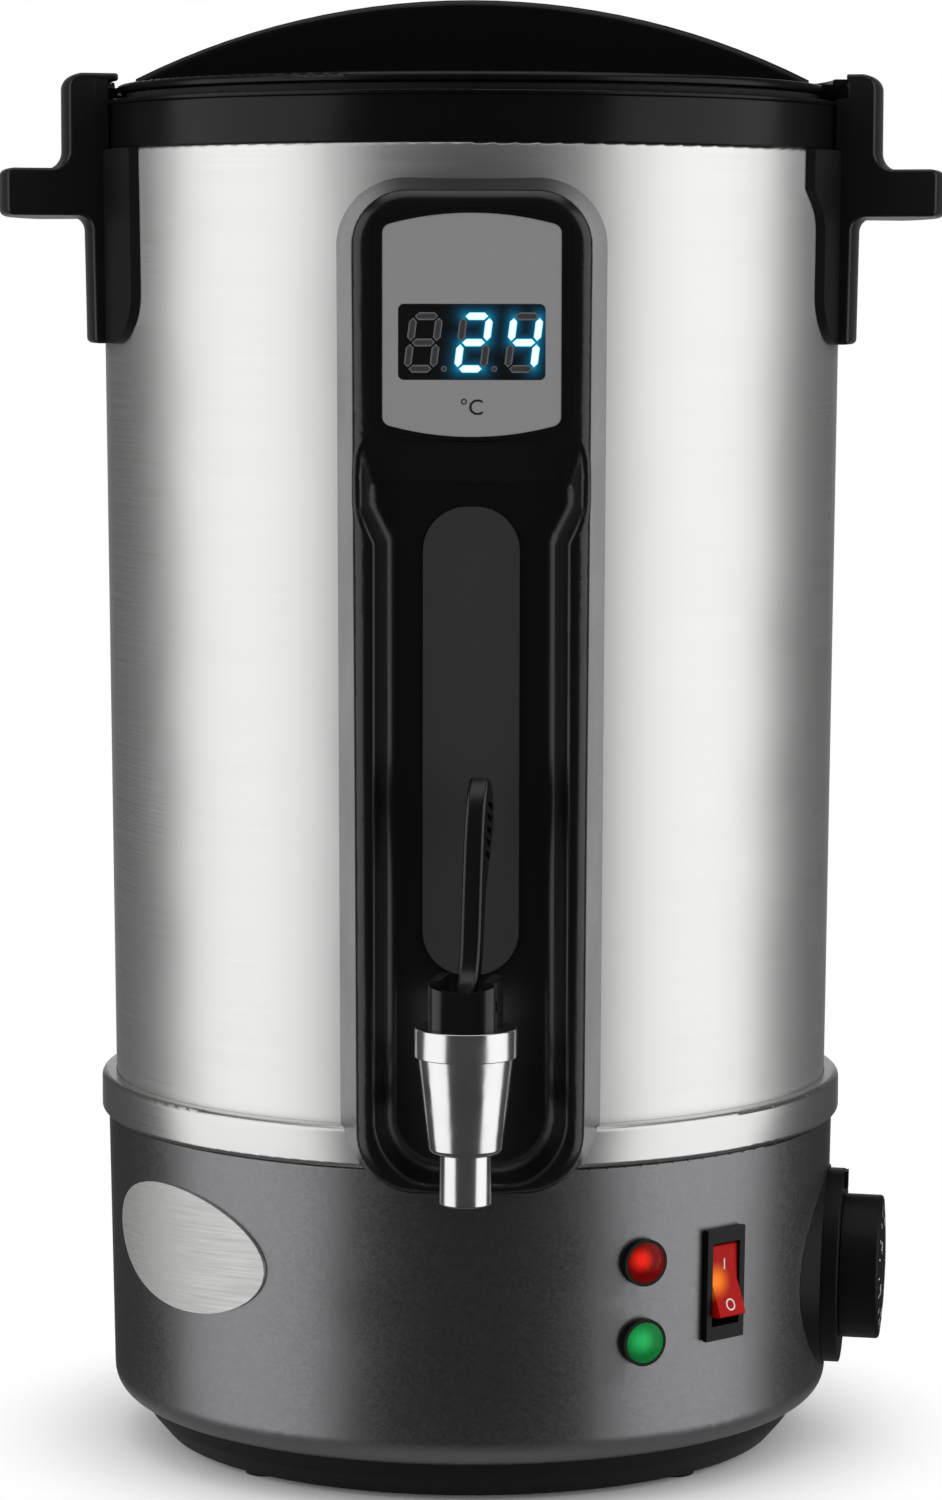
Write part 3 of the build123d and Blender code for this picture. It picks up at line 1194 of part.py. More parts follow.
def valve_spring():
    """Coil spring between the plug and the bonnet."""
    start = SEAT_Z + SEAT + PLUG_HEIGHT + SPRING_WIRE + SEAT
    end = CUFF_TOP - 3.0 - SPRING_WIRE - SEAT
    helix = Helix((end - start) / SPRING_TURNS, end - start, SPRING_RADIUS - SPRING_WIRE)
    wire = sweep(Plane(origin=helix @ 0, z_dir=helix % 0) * Circle(SPRING_WIRE), path=helix, is_frenet=True)
    return on_bonnet(Pos(0, 0, start) * wire)


def tap_lever():
    """Black handle: hub on the pin, toes under the stem's head and an arm that broadens to a paddle."""
    back, front = PIVOT_FORWARD, -PIVOT_FORWARD
    crown = CUFF_TOP + LEVER_RISE
    arm = Spline(
        (0, front + 1.0, PIVOT_Z + 3.0),
        (0, 1.6, CUFF_TOP + 12.5),
        (0, 6.9, crown - 34.2),
        (0, 9.6, crown - 18.8),
        (0, 14.0, crown - 5.4),
        (0, 19.0, crown),
    )
    spine = Spline(
        (0, 19.0, crown),
        (0, 25.0, crown - 3.6),
        (0, 26.6, crown - 11.4),
        (0, 19.5, crown - 23.0),
        (0, 13.8, crown - 34.6),
        (0, 9.6, CUFF_TOP + 14.0),
        (0, back - 2.0, PIVOT_Z + 1.9),
    )
    root = Polyline(
        (0, back - 2.0, PIVOT_Z + 1.9),
        (0, front - 0.5, PIVOT_Z + 1.9),
        (0, front + 1.0, PIVOT_Z + 3.0),
    )
    lever = extrude(make_face(arm + spine + root), LEVER_ARM / 2, dir=(1, 0, 0), both=True)
    lever = fillet(lever.faces().filter_by(Axis.X).edges().filter_by(GeomType.BSPLINE), 1.2)
    for step in range(LEVER_RIBS):
        notch = Pos(0, 17.0 + 0.9 * step, crown - 19.6 + 3.1 * step) * Rot(-15, 0, 0)
        for side in (-1, 1):
            lever -= notch * Pos(side * LEVER_ARM / 2, 0, 0) * Box(1.6, 6.0, 1.6)
    pin_line = Plane(origin=(0, front, PIVOT_Z), x_dir=(0, 1, 0), z_dir=(1, 0, 0))
    hub = pin_line * Cylinder(LEVER_HUB_RADIUS, LEVER_HUB)
    toe_line = Plane(origin=(0, 0, PIVOT_Z - TOE_DROP), x_dir=(0, 1, 0), z_dir=(1, 0, 0))
    toe = toe_line * Cylinder(TOE_RADIUS, LEVER_HUB)
    web = make_hull([
        *(Pos(front, PIVOT_Z - LEVER_HUB_RADIUS + 0.8) * Circle(0.9)).edges(),
        *(Pos(0, PIVOT_Z - TOE_DROP) * Circle(TOE_RADIUS)).edges(),
    ])
    toe += extrude(Plane.YZ * web, LEVER_HUB / 2, both=True)
    gap = Pos(0, -0.4, PIVOT_Z - 6) * Box(2 * (STEM_RADIUS + RUN), TOE_GAP, 12, align=BASED)
    lever += hub + (toe - gap)
    lever -= pin_line * Cylinder(PIN_RADIUS + FIT, 2 * LEVER_HUB)
    return on_bonnet(lever)


def lever_pin():
    """Steel pin through the bonnet's ears."""
    pin_line = Plane(origin=(0, -PIVOT_FORWARD, PIVOT_Z), x_dir=(0, 1, 0), z_dir=(1, 0, 0))
    return on_bonnet(pin_line * Cylinder(PIN_RADIUS, BONNET_WIDTH - 1.0))


# ---------------------------------------------------------------- controls on the base
def badge_plate():
    """Bare brushed oval, curved to the shell."""
    skin = turned([
        (SHELL_LOW_RADIUS + SEAT, SHELL_Z, 0),
        (SHELL_LOW_RADIUS + SEAT + BADGE_THICK, SHELL_Z, 0),
        (SHELL_TOP_RADIUS + SEAT + BADGE_THICK, TRIM_Z, 0),
        (SHELL_TOP_RADIUS + SEAT, TRIM_Z, 0),
    ])
    reach = shell_radius(BADGE_Z) * sin(BADGE_HALF_LENGTH / shell_radius(BADGE_Z))
    oval = BADGE * Rot(0, 0, BADGE_TILT) * Ellipse(reach, BADGE_HALF_HEIGHT)
    return skin & extrude(oval, 2 * SHELL_TOP_RADIUS)


def lamp_lens(plane):
    """Domed lens seated in its holder."""
    return domed(plane, LAMP_LENS, 0.9, 2.0, 1.8)


def lamp_holders():
    """Black bezels with their barrels behind the shell."""
    holders = []
    for plane in (RED_LAMP, GREEN_LAMP):
        holder = rod(plane, LAMP_BEZEL, SEAT, 2.0) - rod(plane, LAMP_LENS + SEAT, 0.9 - SEAT, 9)
        holder += rod(plane, LAMP_BARREL, -LAMP_LENGTH, SEAT + 0.2)
        holders.append(holder - rod(plane, LAMP_BARREL - 1.2, -LAMP_LENGTH + 2.0, 0.2))
    return holders


def switch_housing():
    """Rocker switch body: bezel, snap-in box and the well that the rocker swings in."""
    housing = block(SWITCH, Rectangle(SWITCH_WIDTH, SWITCH_HEIGHT), SEAT + 0.2, 1.8)
    housing += block(SWITCH, Rectangle(SWITCH_WIDTH - 2.2, SWITCH_HEIGHT - 3.2), -SWITCH_DEPTH, 0.3)
    well = Rectangle(ROCKER_WIDTH + 2 * RUN, 2 * ROCKER_HALF + 2.8)
    housing -= block(SWITCH, well, -11.0, 5.0)
    pivot = SWITCH.offset(ROCKER_PIVOT)
    across = Plane(origin=pivot.origin, x_dir=pivot.z_dir, z_dir=pivot.x_dir)
    housing -= across * Cylinder(ROCKER_PIN + FIT, ROCKER_WIDTH + 2.2)
    end = -SWITCH_DEPTH - SWITCH_TAB_LENGTH
    for height in SWITCH_TABS:
        housing += block(SWITCH, Pos(0, height) * Rectangle(4.8, TAB_THICK), end, -SWITCH_DEPTH + 1)
    return housing


def switch_rocker():
    """Lit rocker with two faces that meet in a shallow valley, tipped to its I side."""
    half = ROCKER_HALF
    outline = make_face(FilletPolyline(
        (6.0, half),
        (4.2, 0),
        (6.0, -half),
        (-0.5, -half + 1.2),
        (-3.6, -4.0),
        (-3.6, 4.0),
        (-0.5, half - 1.2),
        radius=[0.6, 3.0, 0.6, 0.5, 1.0, 1.0, 0.5],
        close=True,
    ))
    pivot = SWITCH.offset(ROCKER_PIVOT)
    across = Plane(origin=pivot.origin, x_dir=pivot.z_dir, z_dir=pivot.x_dir)
    rocker = extrude(Rot(0, 0, -ROCKER_TILT) * outline, ROCKER_WIDTH / 2, both=True)
    rocker += Cylinder(ROCKER_PIN, ROCKER_WIDTH + 1.8)
    return across * rocker


def dial_saddle():
    """Escutcheon that carries the round dial on the curved shell."""
    root = DIAL.offset(DIAL_SEAT - 9.0) * Ellipse(SADDLE_HALF_WIDTH + 1.0, DIAL_RADIUS + 2.4)
    crown = DIAL.offset(DIAL_SEAT + 1.6) * Ellipse(DIAL_RADIUS + 1.6, DIAL_RADIUS + 0.9)
    saddle = loft(Sketch() + [root, crown])
    saddle -= turned([
        (0, SHELL_Z, 0),
        (SHELL_LOW_RADIUS + SEAT, SHELL_Z, 0),
        (SHELL_TOP_RADIUS + SEAT, TRIM_Z, 0),
        (0, TRIM_Z, 0),
    ])
    saddle += rod(DIAL, DIAL_RADIUS + 0.8, DIAL_SEAT - SADDLE_FACE, DIAL_SEAT + 1.6)
    saddle -= rod(DIAL, DIAL_RADIUS + SEAT, DIAL_SEAT - SEAT, DIAL_SEAT + 9)
    saddle -= rod(DIAL, SPINDLE_RADIUS + 2.0, DIAL_SEAT - 9, DIAL_SEAT + 9)
    for side in (-1, 1):
        place = DIAL * Pos(side * DIAL_SCREWS, 0)
        saddle -= place * Pos(0, 0, DIAL_SEAT) * Cylinder(DIAL_SCREW + SEAT, 20)
    return saddle


def dial_ring():
    """Fixed round plate behind the knob, with the index nub at its top."""
    ring = rod(DIAL, DIAL_RADIUS, DIAL_SEAT, DIAL_SEAT + DIAL_THICK)
    ring = fillet(ring.edges().filter_by(GeomType.CIRCLE), 0.4)
    nub = DIAL.offset(DIAL_SEAT + 1.0) * Pos(0, DIAL_RADIUS - 2.6)
    ring += nub * Box(4.0, 4.9, DIAL_THICK, align=BASED)
    ring -= rod(DIAL, SPINDLE_RADIUS + 2.0, DIAL_SEAT - 5, DIAL_SEAT + 20)
    for side in (-1, 1):
        ring -= DIAL * Pos(side * DIAL_SCREWS, 0) * rod(Plane.XY, 4.0, DIAL_SEAT - 1, DIAL_SEAT + 2.6)
    return ring


def knob_back():
    """Distance of the knob's back from the drum's axis."""
    return DIAL_SEAT + DIAL_THICK + RUN


def thermostat_knob():
    """Round knob with a domed face and a hub on the spindle."""
    back, front = knob_back(), DIAL_SEAT + DIAL_THICK + KNOB_LENGTH
    knob = domed(DIAL, KNOB_RADIUS, back, front, KNOB_DOME)
    knob = fillet(knob.edges().filter_by(GeomType.CIRCLE).sort_by_distance(DIAL.origin)[-1], 1.0)
    knob -= rod(DIAL, KNOB_RADIUS - 2.2, back - 1, front - 2.2)
    knob += rod(DIAL, 6.0, back, front - 1.0)
    return knob - rod(DIAL, SPINDLE_RADIUS + FIT, 0, front - 3.0)


def thermostat_spindle():
    """Shaft from the thermostat into the knob."""
    return rod(DIAL, SPINDLE_RADIUS, THERMOSTAT_FRONT - 8.0, DIAL_SEAT + DIAL_THICK + KNOB_LENGTH - 3.0)


def thermostat_body():
    """Capillary thermostat screwed behind the saddle."""
    box = Rectangle(THERMOSTAT_WIDTH, THERMOSTAT_HEIGHT)
    body = block(DIAL, box, THERMOSTAT_BACK, THERMOSTAT_FRONT)
    body = fillet(body.edges().group_by(Axis.Z)[-1], 0.8)
    body -= rod(DIAL, SPINDLE_RADIUS + FIT, THERMOSTAT_FRONT - 8.5, THERMOSTAT_FRONT + 5)
    for side in (-1, 1):
        hole = DIAL * Pos(side * DIAL_SCREWS, 0) * Pos(0, 0, THERMOSTAT_FRONT - 6.5)
        body -= hole * Cylinder(DIAL_SCREW + FIT, 20, align=BASED)
        tab = Pos(side * THERMOSTAT_TAB_X, -THERMOSTAT_TAB_DROP) * Rectangle(TAB_WIDTH, TAB_THICK)
        body += block(DIAL, tab, THERMOSTAT_BACK - THERMOSTAT_TAB_LENGTH, THERMOSTAT_BACK)
    return body


def thermostat_screws():
    """Two screws through the saddle into the thermostat."""
    screws = []
    for side in (-1, 1):
        place = DIAL * Pos(side * DIAL_SCREWS, 0)
        shaft = place * rod(Plane.XY, DIAL_SCREW, THERMOSTAT_FRONT - 6.0, DIAL_SEAT + 0.1)
        screws.append(shaft + place * rod(Plane.XY, 3.6, DIAL_SEAT, DIAL_SEAT + 2.2))
    return screws


def mains_inlet():
    """Three-pin appliance inlet set in the back of the shell."""
    flange = RectangleRounded(INLET_WIDTH, INLET_HEIGHT, 4.0)
    inlet = block(INLET, flange, SEAT, INLET_FLANGE)
    inlet += block(INLET, Rectangle(INLET_WIDTH - 3.6, INLET_SOCKET_HEIGHT + 3.4), -INLET_BODY, 1.0)
    socket = RectangleRounded(INLET_SOCKET_WIDTH, INLET_SOCKET_HEIGHT, 3.0)
    inlet -= block(INLET, socket, INLET_FLANGE - INLET_SOCKET_DEPTH, 5.0)
    for side in (-1, 1):
        inlet -= INLET * Pos(0, side * INLET_SCREWS / 2) * Cylinder(INLET_SCREW + SEAT, 20)
    for x, y in INLET_PINS:
        inlet -= block(INLET, Pos(x, y) * Rectangle(2.0 + 2 * SEAT, 4.0 + 2 * SEAT), -40, 5)
    return inlet


def inlet_pins():
    """Earth, line and neutral blades, with their tails behind the inlet."""
    return [
        block(INLET, Pos(x, y) * Rectangle(2.0, 4.0), -INLET_BODY - INLET_TAIL, INLET_FLANGE - 2.5)
        for x, y in INLET_PINS
    ]


def inlet_screws():
    """Two screws that hold the inlet to the shell."""
    screws = []
    for side in (-1, 1):
        place = INLET * Pos(0, side * INLET_SCREWS / 2)
        head = place * rod(Plane.XY, 2.8, INLET_FLANGE + SEAT, INLET_FLANGE + 1.7)
        screws.append(head + place * rod(Plane.XY, INLET_SCREW, -5.0, INLET_FLANGE + 0.2))
    return screws


def terminal_block():
    """Insulated block on the base plate where the leads meet."""
    base = Pos(TERMINAL_X, TERMINAL_Y, PLATE_TOP + SEAT)
    strip = base * Box(TERMINAL_LENGTH, TERMINAL_WIDTH, TERMINAL_STEP, align=BASED)
    strip += base * Box(TERMINAL_LENGTH, TERMINAL_WIDTH / 2, TERMINAL_HEIGHT, align=BASED)
    return fillet(strip.edges().filter_by(Axis.Z), 0.6)


# ---------------------------------------------------------------- leads
def lead(corners, bend=LEAD_BEND):
    """Insulated wire through its corners, each rounded by a bend."""
    path = FilletPolyline(*corners, radius=bend)
    return sweep(Plane(origin=path @ 0, z_dir=path % 0) * Circle(LEAD_RADIUS), path=path)


def spot(plane, distance, x=0.0, y=0.0):
    """Point on a plane, moved off it by a distance."""
    return tuple((plane * Pos(x, y, distance)).position)


def tail(plane, distance, length, x=0.0, y=0.0):
    """First two corners of a lead that leaves a tab inwards."""
    return [spot(plane, distance - LEAD_GAP, x, y), spot(plane, distance - LEAD_GAP - length, x, y)]


def into_block(way, side):
    """Last two corners of a lead that drops into the terminal block; side 1 faces the inlet."""
    x = TERMINAL_X + TERMINAL_LENGTH / 2 - TERMINAL_FIRST - TERMINAL_PITCH * way
    y = TERMINAL_Y + side * TERMINAL_WIDTH * 3 / 8
    z = PLATE_TOP + SEAT + TERMINAL_STEP + LEAD_GAP
    return [(x, y, z + LEAD_DROP + LEAD_STAGGER * way), (x, y, z)]


def mains_leads():
    """Earth, line and neutral from the inlet's pins to the terminal block."""
    end = -INLET_BODY - INLET_TAIL
    return [
        lead(tail(INLET, end, LEAD_TAIL, x, y) + into_block(way, 1), LEAD_TIGHT_BEND)
        for (x, y), way in zip(INLET_PINS, (1, 2, 0))
    ]


def control_leads():
    """From the switch to the block and the thermostat, and from the lamps to the switch and the block."""
    low, middle, high = SWITCH_TABS
    switch = -SWITCH_DEPTH - SWITCH_TAB_LENGTH
    thermostat = THERMOSTAT_BACK - THERMOSTAT_TAB_LENGTH
    arrival = tail(DIAL, thermostat, LEAD_TAIL, -THERMOSTAT_TAB_X, -THERMOSTAT_TAB_DROP)[::-1]
    return [
        lead(tail(SWITCH, switch, LEAD_TAIL, 0, low) + into_block(1, -1)),
        lead(tail(SWITCH, switch, LEAD_TAIL, 0, middle) + arrival),
        lead(tail(RED_LAMP, -LAMP_LENGTH, LEAD_TAIL) + tail(SWITCH, switch, LEAD_TAIL, 0, high)[::-1],
             LEAD_TIGHT_BEND),
        lead(tail(GREEN_LAMP, -LAMP_LENGTH, LEAD_TAIL) + into_block(2, -1)),
    ]


def heater_leads():
    """From the thermostat through the cut-out and the element back to the terminal block."""
    (left, depth), (right, _) = element_ends()
    thermostat = THERMOSTAT_BACK - THERMOSTAT_TAB_LENGTH
    cutout = HEATER_Z - SEAT - CUTOUT_HEIGHT - CUTOUT_TAB - LEAD_GAP
    element = ELEMENT_Z - ELEMENT_LEG - SEAT - TERMINAL_DROP - LEAD_GAP
    level = SHIELD_Z + LEAD_OVER_SHIELD
    beside = depth - TERMINAL_BUSH + 0.6
    return [
        lead(tail(DIAL, thermostat, LEAD_TAIL, THERMOSTAT_TAB_X, -THERMOSTAT_TAB_DROP) + [
            (right, beside, SHIELD_Z - 12.0),
            (right, beside, level),
            (CUTOUT_TAB_X, 0, level),
            (CUTOUT_TAB_X, 0, cutout),
        ], LEAD_TIGHT_BEND),
        lead([
            (-CUTOUT_TAB_X, 0, cutout),
            (-CUTOUT_TAB_X, 0, level),
            (left, depth - LEAD_TAIL, level),
            (left, depth - TAB_THICK / 2 - LEAD_GAP, level),
        ], LEAD_TIGHT_BEND),
        lead([(right, depth, element), (right, depth, SHIELD_Z / 2)] + into_block(0, -1)),
    ]


def display_leads():
    """From the probe up to the display's socket, and from the socket down into the base."""
    socket = LABEL_Z - SOCKET_DROP - SOCKET_HEIGHT / 2 - LEAD_GAP
    depth = BOARD_Y + BOARD_THICK + SOCKET_DEPTH / 2
    near = SOCKET_WIDTH / 2 - 2.0
    head = drum_radius(PROBE.origin.Z) + PROBE_HEAD + LEAD_GAP
    rise_x, rise_y, rise_z = spot(PROBE, LEAD_RUN)
    fall_x, fall_y, fall_z = spot(LEAD_HOLE_PLANE, LEAD_RUN)
    inner_x, inner_y, _ = spot(LEAD_HOLE_PLANE, SHELL_LOW_RADIUS - 12.0)
    return [
        lead([
            spot(PROBE, head),
            (rise_x, rise_y, rise_z),
            (rise_x, rise_y, socket - 9.0),
            (near, depth, socket - 5.0),
            (near, depth, socket),
        ], LEAD_TIGHT_BEND),
        lead([
            (-near, depth, socket),
            (-near, depth, socket - 5.0),
            (fall_x, fall_y, socket - 10.0),
            (fall_x, fall_y, fall_z),
            (inner_x, inner_y, fall_z),
            (inner_x, inner_y, PLATE_TOP + 15.0),
        ] + into_block(3, -1), LEAD_TIGHT_BEND),
    ]


def internal_leads():
    """All the wires inside the base and the column."""
    return mains_leads() + control_leads() + heater_leads() + display_leads()


# ---------------------------------------------------------------- all nodes
PIECES = {
    "base_shell": base_shell,
    "foot_ring": foot_ring,
    "rubber_feet": rubber_feet,
    "base_plate": base_plate,
    "tie_rods": tie_rods,
    "tie_rod_nuts": tie_rod_nuts,
    "shield_spacers": shield_spacers,
    "heat_shield": heat_shield,
    "trim_ring": trim_ring,
    "tank_wall": tank_wall,
    "tank_floor": tank_floor,
    "heater_plate": heater_plate,
    "heating_element": heating_element,
    "element_terminals": element_terminals,
    "thermal_cutout": thermal_cutout,
    "thermostat_bulb": thermostat_bulb,
    "wall_screws": wall_screws,
    "screw_gaskets": screw_gaskets,
    "temperature_probe": temperature_probe,
    "probe_nut": probe_nut,
    "collar": collar,
    "right_handle": handle,
    "left_handle": lambda: Rot(0, 0, 180) * handle(),
    "lid": lid,
    "lid_seal": lid_seal,
    "front_column": front_column,
    "label_plate": label_plate,
    "display_window": display_window,
    "display_module": display_module,
    "display_board": display_board,
    "channel_inlay": channel_inlay,
    "tap_body": tap_body,
    "tap_shank": tap_shank,
    "column_seal": column_seal,
    "outer_tank_seal": outer_tank_seal,
    "inner_tank_seal": inner_tank_seal,
    "tap_lock_nut": tap_lock_nut,
    "tap_bonnet": tap_bonnet,
    "valve_stem": valve_stem,
    "seat_plug": seat_plug,
    "valve_spring": valve_spring,
    "tap_lever": tap_lever,
    "lever_pin": lever_pin,
    "badge_plate": badge_plate,
    "red_lamp_lens": lambda: lamp_lens(RED_LAMP),
    "green_lamp_lens": lambda: lamp_lens(GREEN_LAMP),
    "lamp_holders": lamp_holders,
    "switch_housing": switch_housing,
    "switch_rocker": switch_rocker,
    "dial_saddle": dial_saddle,
    "dial_ring": dial_ring,
    "thermostat_knob": thermostat_knob,
    "thermostat_spindle": thermostat_spindle,
    "thermostat_body": thermostat_body,
    "thermostat_screws": thermostat_screws,
    "mains_inlet": mains_inlet,
    "inlet_pins": inlet_pins,
    "inlet_screws": inlet_screws,
    "terminal_block": terminal_block,
    "internal_leads": internal_leads,
}


def write_pieces():
    """Makes every piece and writes it to parts/NAME.step."""
    os.makedirs("parts", exist_ok=True)
    for name, make in PIECES.items():
        made = make()
        shape = Compound(children=list(made)) if isinstance(made, list) else made
        export_step(shape, f"parts/{name}.step")
        box = shape.bounding_box()
        print(f"{name:20s} {box.size.X:7.1f} x {box.size.Y:7.1f} x {box.size.Z:7.1f} mm")


if __name__ == "__main__":
    write_pieces()
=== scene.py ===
# %% [markdown]
# # A wax melter in brushed steel and black plastic
#
# The real object is a steel drum that stands on a painted base. A moulded column in front
# carries a temperature display and a lever tap, and the base carries a dial, a rocker switch
# and two lamps. Its solids are already made, to size, in a CAD model. This lesson gives them
# their finishes, adds the small things that are printed or lit, and lights them in a plain
# studio. Nothing is moved: every piece stays where its solid is.

# %% Load the solids
import json
import math

import bmesh
import bpy
from mathutils import Matrix, Vector
from mathutils.bvhtree import BVHTree

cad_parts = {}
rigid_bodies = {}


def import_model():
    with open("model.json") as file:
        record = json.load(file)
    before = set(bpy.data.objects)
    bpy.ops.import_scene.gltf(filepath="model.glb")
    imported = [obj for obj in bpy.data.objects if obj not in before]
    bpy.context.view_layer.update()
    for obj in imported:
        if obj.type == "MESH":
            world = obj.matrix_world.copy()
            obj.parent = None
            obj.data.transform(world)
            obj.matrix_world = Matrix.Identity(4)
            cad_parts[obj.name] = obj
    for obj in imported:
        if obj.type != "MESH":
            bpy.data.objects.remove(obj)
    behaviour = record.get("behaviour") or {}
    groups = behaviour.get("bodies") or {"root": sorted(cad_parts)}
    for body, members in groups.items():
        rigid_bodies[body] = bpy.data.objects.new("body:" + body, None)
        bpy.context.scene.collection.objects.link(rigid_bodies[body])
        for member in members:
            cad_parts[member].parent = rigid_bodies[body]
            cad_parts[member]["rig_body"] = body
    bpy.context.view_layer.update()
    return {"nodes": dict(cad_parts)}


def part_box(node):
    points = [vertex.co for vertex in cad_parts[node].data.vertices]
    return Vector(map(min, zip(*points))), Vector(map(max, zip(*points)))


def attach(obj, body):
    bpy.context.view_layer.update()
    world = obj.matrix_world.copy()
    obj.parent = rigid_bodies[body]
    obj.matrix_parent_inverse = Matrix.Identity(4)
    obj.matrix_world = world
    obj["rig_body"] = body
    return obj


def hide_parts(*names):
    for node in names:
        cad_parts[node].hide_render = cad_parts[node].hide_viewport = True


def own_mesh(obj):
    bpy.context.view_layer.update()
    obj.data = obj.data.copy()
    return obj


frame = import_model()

nodes = frame["nodes"]

# %% [markdown]
# ## The camera
#
# A product like this is best shown from over a metre away, a little above its middle, with a
# long lens, so that its sides stay nearly parallel. The camera could be aimed at the object
# with a constraint, but five numbers say the same: its distance, height, tilt and roll, and
# the length of its lens.

# %% Place the camera
CAMERA_DISTANCE = 1.2944  # metres in front of the drum's axis
CAMERA_HEIGHT = 0.3251  # metres above the floor
CAMERA_TILT = 5.72  # degrees below level
CAMERA_ROLL = 0.11  # degrees
CAMERA_LENS = 109.5  # millimetres

camera_data = bpy.data.cameras.new("camera")
camera_data.lens = CAMERA_LENS
camera = bpy.data.objects.new("camera", camera_data)
bpy.context.scene.collection.objects.link(camera)
camera.matrix_world = (
    Matrix.Translation((0.0, -CAMERA_DISTANCE, CAMERA_HEIGHT))
    @ Matrix.Rotation(math.radians(90.0 - CAMERA_TILT), 4, "X")
    @ Matrix.Rotation(math.radians(CAMERA_ROLL), 4, "Z")
)
bpy.context.scene.camera = camera
print("camera at", [round(value, 3) for value in camera.matrix_world.translation])

# %% [markdown]
# ## Small helpers
#
# Colours are easiest to read as the hex values that a screen shows, but shaders reckon in
# linear light, so one function turns one into the other. A second function adds a node to a
# tree with its settings and its links. A third opens a material: it empties the tree and
# hands over the object's own coordinates. A fourth closes it: it adds the main shader and
# joins it to the output. Each finish below then only says what is special about it.

# %% Helpers for colours, nodes and materials
MM = 0.001


def linear(hex_colour):
    """Turns an sRGB hex colour into the linear colour that a shader takes."""
    channels = [int(hex_colour[place:place + 2], 16) / 255.0 for place in (1, 3, 5)]
    decoded = [c / 12.92 if c <= 0.04045 else ((c + 0.055) / 1.055) ** 2.4 for c in channels]
    return (*decoded, 1.0)


def add_node(tree, kind, sockets=None, **fields):
    """Adds a node, sets its fields, and sets or links its input sockets."""
    node = tree.nodes.new(kind)
    for field, value in fields.items():
        setattr(node, field, value)
    for socket, value in (sockets or {}).items():
        if isinstance(value, bpy.types.NodeSocket):
            tree.links.new(value, node.inputs[socket])
        else:
            node.inputs[socket].default_value = value
    return node


def open_finish(name, colour):
    """Starts a material and returns it with its empty tree and the object's own coordinates."""
    finish = bpy.data.materials.new(name)
    finish.use_nodes = True
    finish.diffuse_color = linear(colour)
    finish.node_tree.nodes.clear()
    place = add_node(finish.node_tree, "ShaderNodeTexCoord").outputs["Object"]
    return finish, finish.node_tree, place


def close_finish(tree, sockets):
    """Adds the main shader with these sockets and joins it to the output."""
    shader = add_node(tree, "ShaderNodeBsdfPrincipled", sockets)
    add_node(tree, "ShaderNodeOutputMaterial", {"Surface": shader.outputs[0]})


print("linear mid grey:", round(linear("#808080")[0], 4))

# %% [markdown]
# ## Brushed steel, wrapped round a drum
#
# The drum is 304 stainless sheet, brushed along the coil before it was rolled, so its fine
# scratches run round it. To the eye that gives wide, soft, upright bands of light. Noise that
# is stretched along the scratches would do on a flat sheet. On a drum the stretch has to
# follow the curve, so the pattern is laid out on the angle round the axis and the height.
# Real scratches lie about 0.05 mm apart, too fine to show, so they are drawn 0.6 mm apart.
# A helper turns such a pattern into roughness and bump, because most finishes need both.

# %% Brushed steels
SCRATCH_GAP = 0.6 * MM
SCRATCH_LENGTH = 70.0 * MM
DRUM_RADIUS = 103 * MM
TRIM_RADIUS = 105 * MM
NOISE_LOW = 0.3  # nearly all of a noise texture lies between these two
NOISE_HIGH = 0.7


def uneven_surface(tree, pattern, smoothest, roughest, depth):
    """Sockets for a surface that gets rougher and higher where a noise is stronger."""
    rough = add_node(tree, "ShaderNodeMapRange",
                     {"Value": pattern, "From Min": NOISE_LOW, "From Max": NOISE_HIGH,
                      "To Min": smoothest, "To Max": roughest})
    bump = add_node(tree, "ShaderNodeBump", {"Height": pattern, "Distance": depth})
    return {"Roughness": rough.outputs["Result"], "Normal": bump.outputs[0]}


def brushed_steel(name, colour, radius, roughness, spread, depth):
    """Stainless sheet, rolled to a radius and brushed round the axis."""
    finish, tree, place = open_finish(name, colour)
    parts = add_node(tree, "ShaderNodeSeparateXYZ", {0: place}).outputs
    turn = add_node(tree, "ShaderNodeMath", {0: parts["X"], 1: parts["Y"]}, operation="ARCTAN2")
    along = add_node(tree, "ShaderNodeMath", {0: turn.outputs[0], 1: radius / SCRATCH_LENGTH},
                     operation="MULTIPLY")
    across = add_node(tree, "ShaderNodeMath", {0: parts["Z"], 1: 1.0 / SCRATCH_GAP},
                      operation="MULTIPLY")
    sheet = add_node(tree, "ShaderNodeCombineXYZ", {"X": along.outputs[0], "Y": across.outputs[0]})
    grain = add_node(tree, "ShaderNodeTexNoise",
                     {"Vector": sheet.outputs[0], "Scale": 1.0, "Detail": 4.0, "Roughness": 0.6})
    surface = uneven_surface(tree, grain.outputs["Fac"], roughness - spread, roughness + spread,
                             depth)
    close_finish(tree, {"Base Color": linear(colour), "Metallic": 1.0, **surface})
    return finish


DRUM_STEEL = brushed_steel("brushed stainless drum", "#DFDFDE", DRUM_RADIUS, 0.4, 0.03,
                           0.003 * MM)
TRIM_STEEL = brushed_steel("bright stainless trim", "#D2D2D1", TRIM_RADIUS, 0.3, 0.02,
                           0.001 * MM)
print("steels:", DRUM_STEEL.name, "and", TRIM_STEEL.name)

# %% [markdown]
# ## Grey metallic paint
#
# The base shell is pressed steel under a grey metallic stoving paint. Aluminium flakes in the
# paint make it shine like a dark, soft metal, and a close look shows a fine sparkle. A
# metallic shader with a dark colour gives the shine, and a cell pattern tips the surface a
# little from flake to flake. Real flakes are under 0.1 mm, so they are drawn at 0.7 mm.

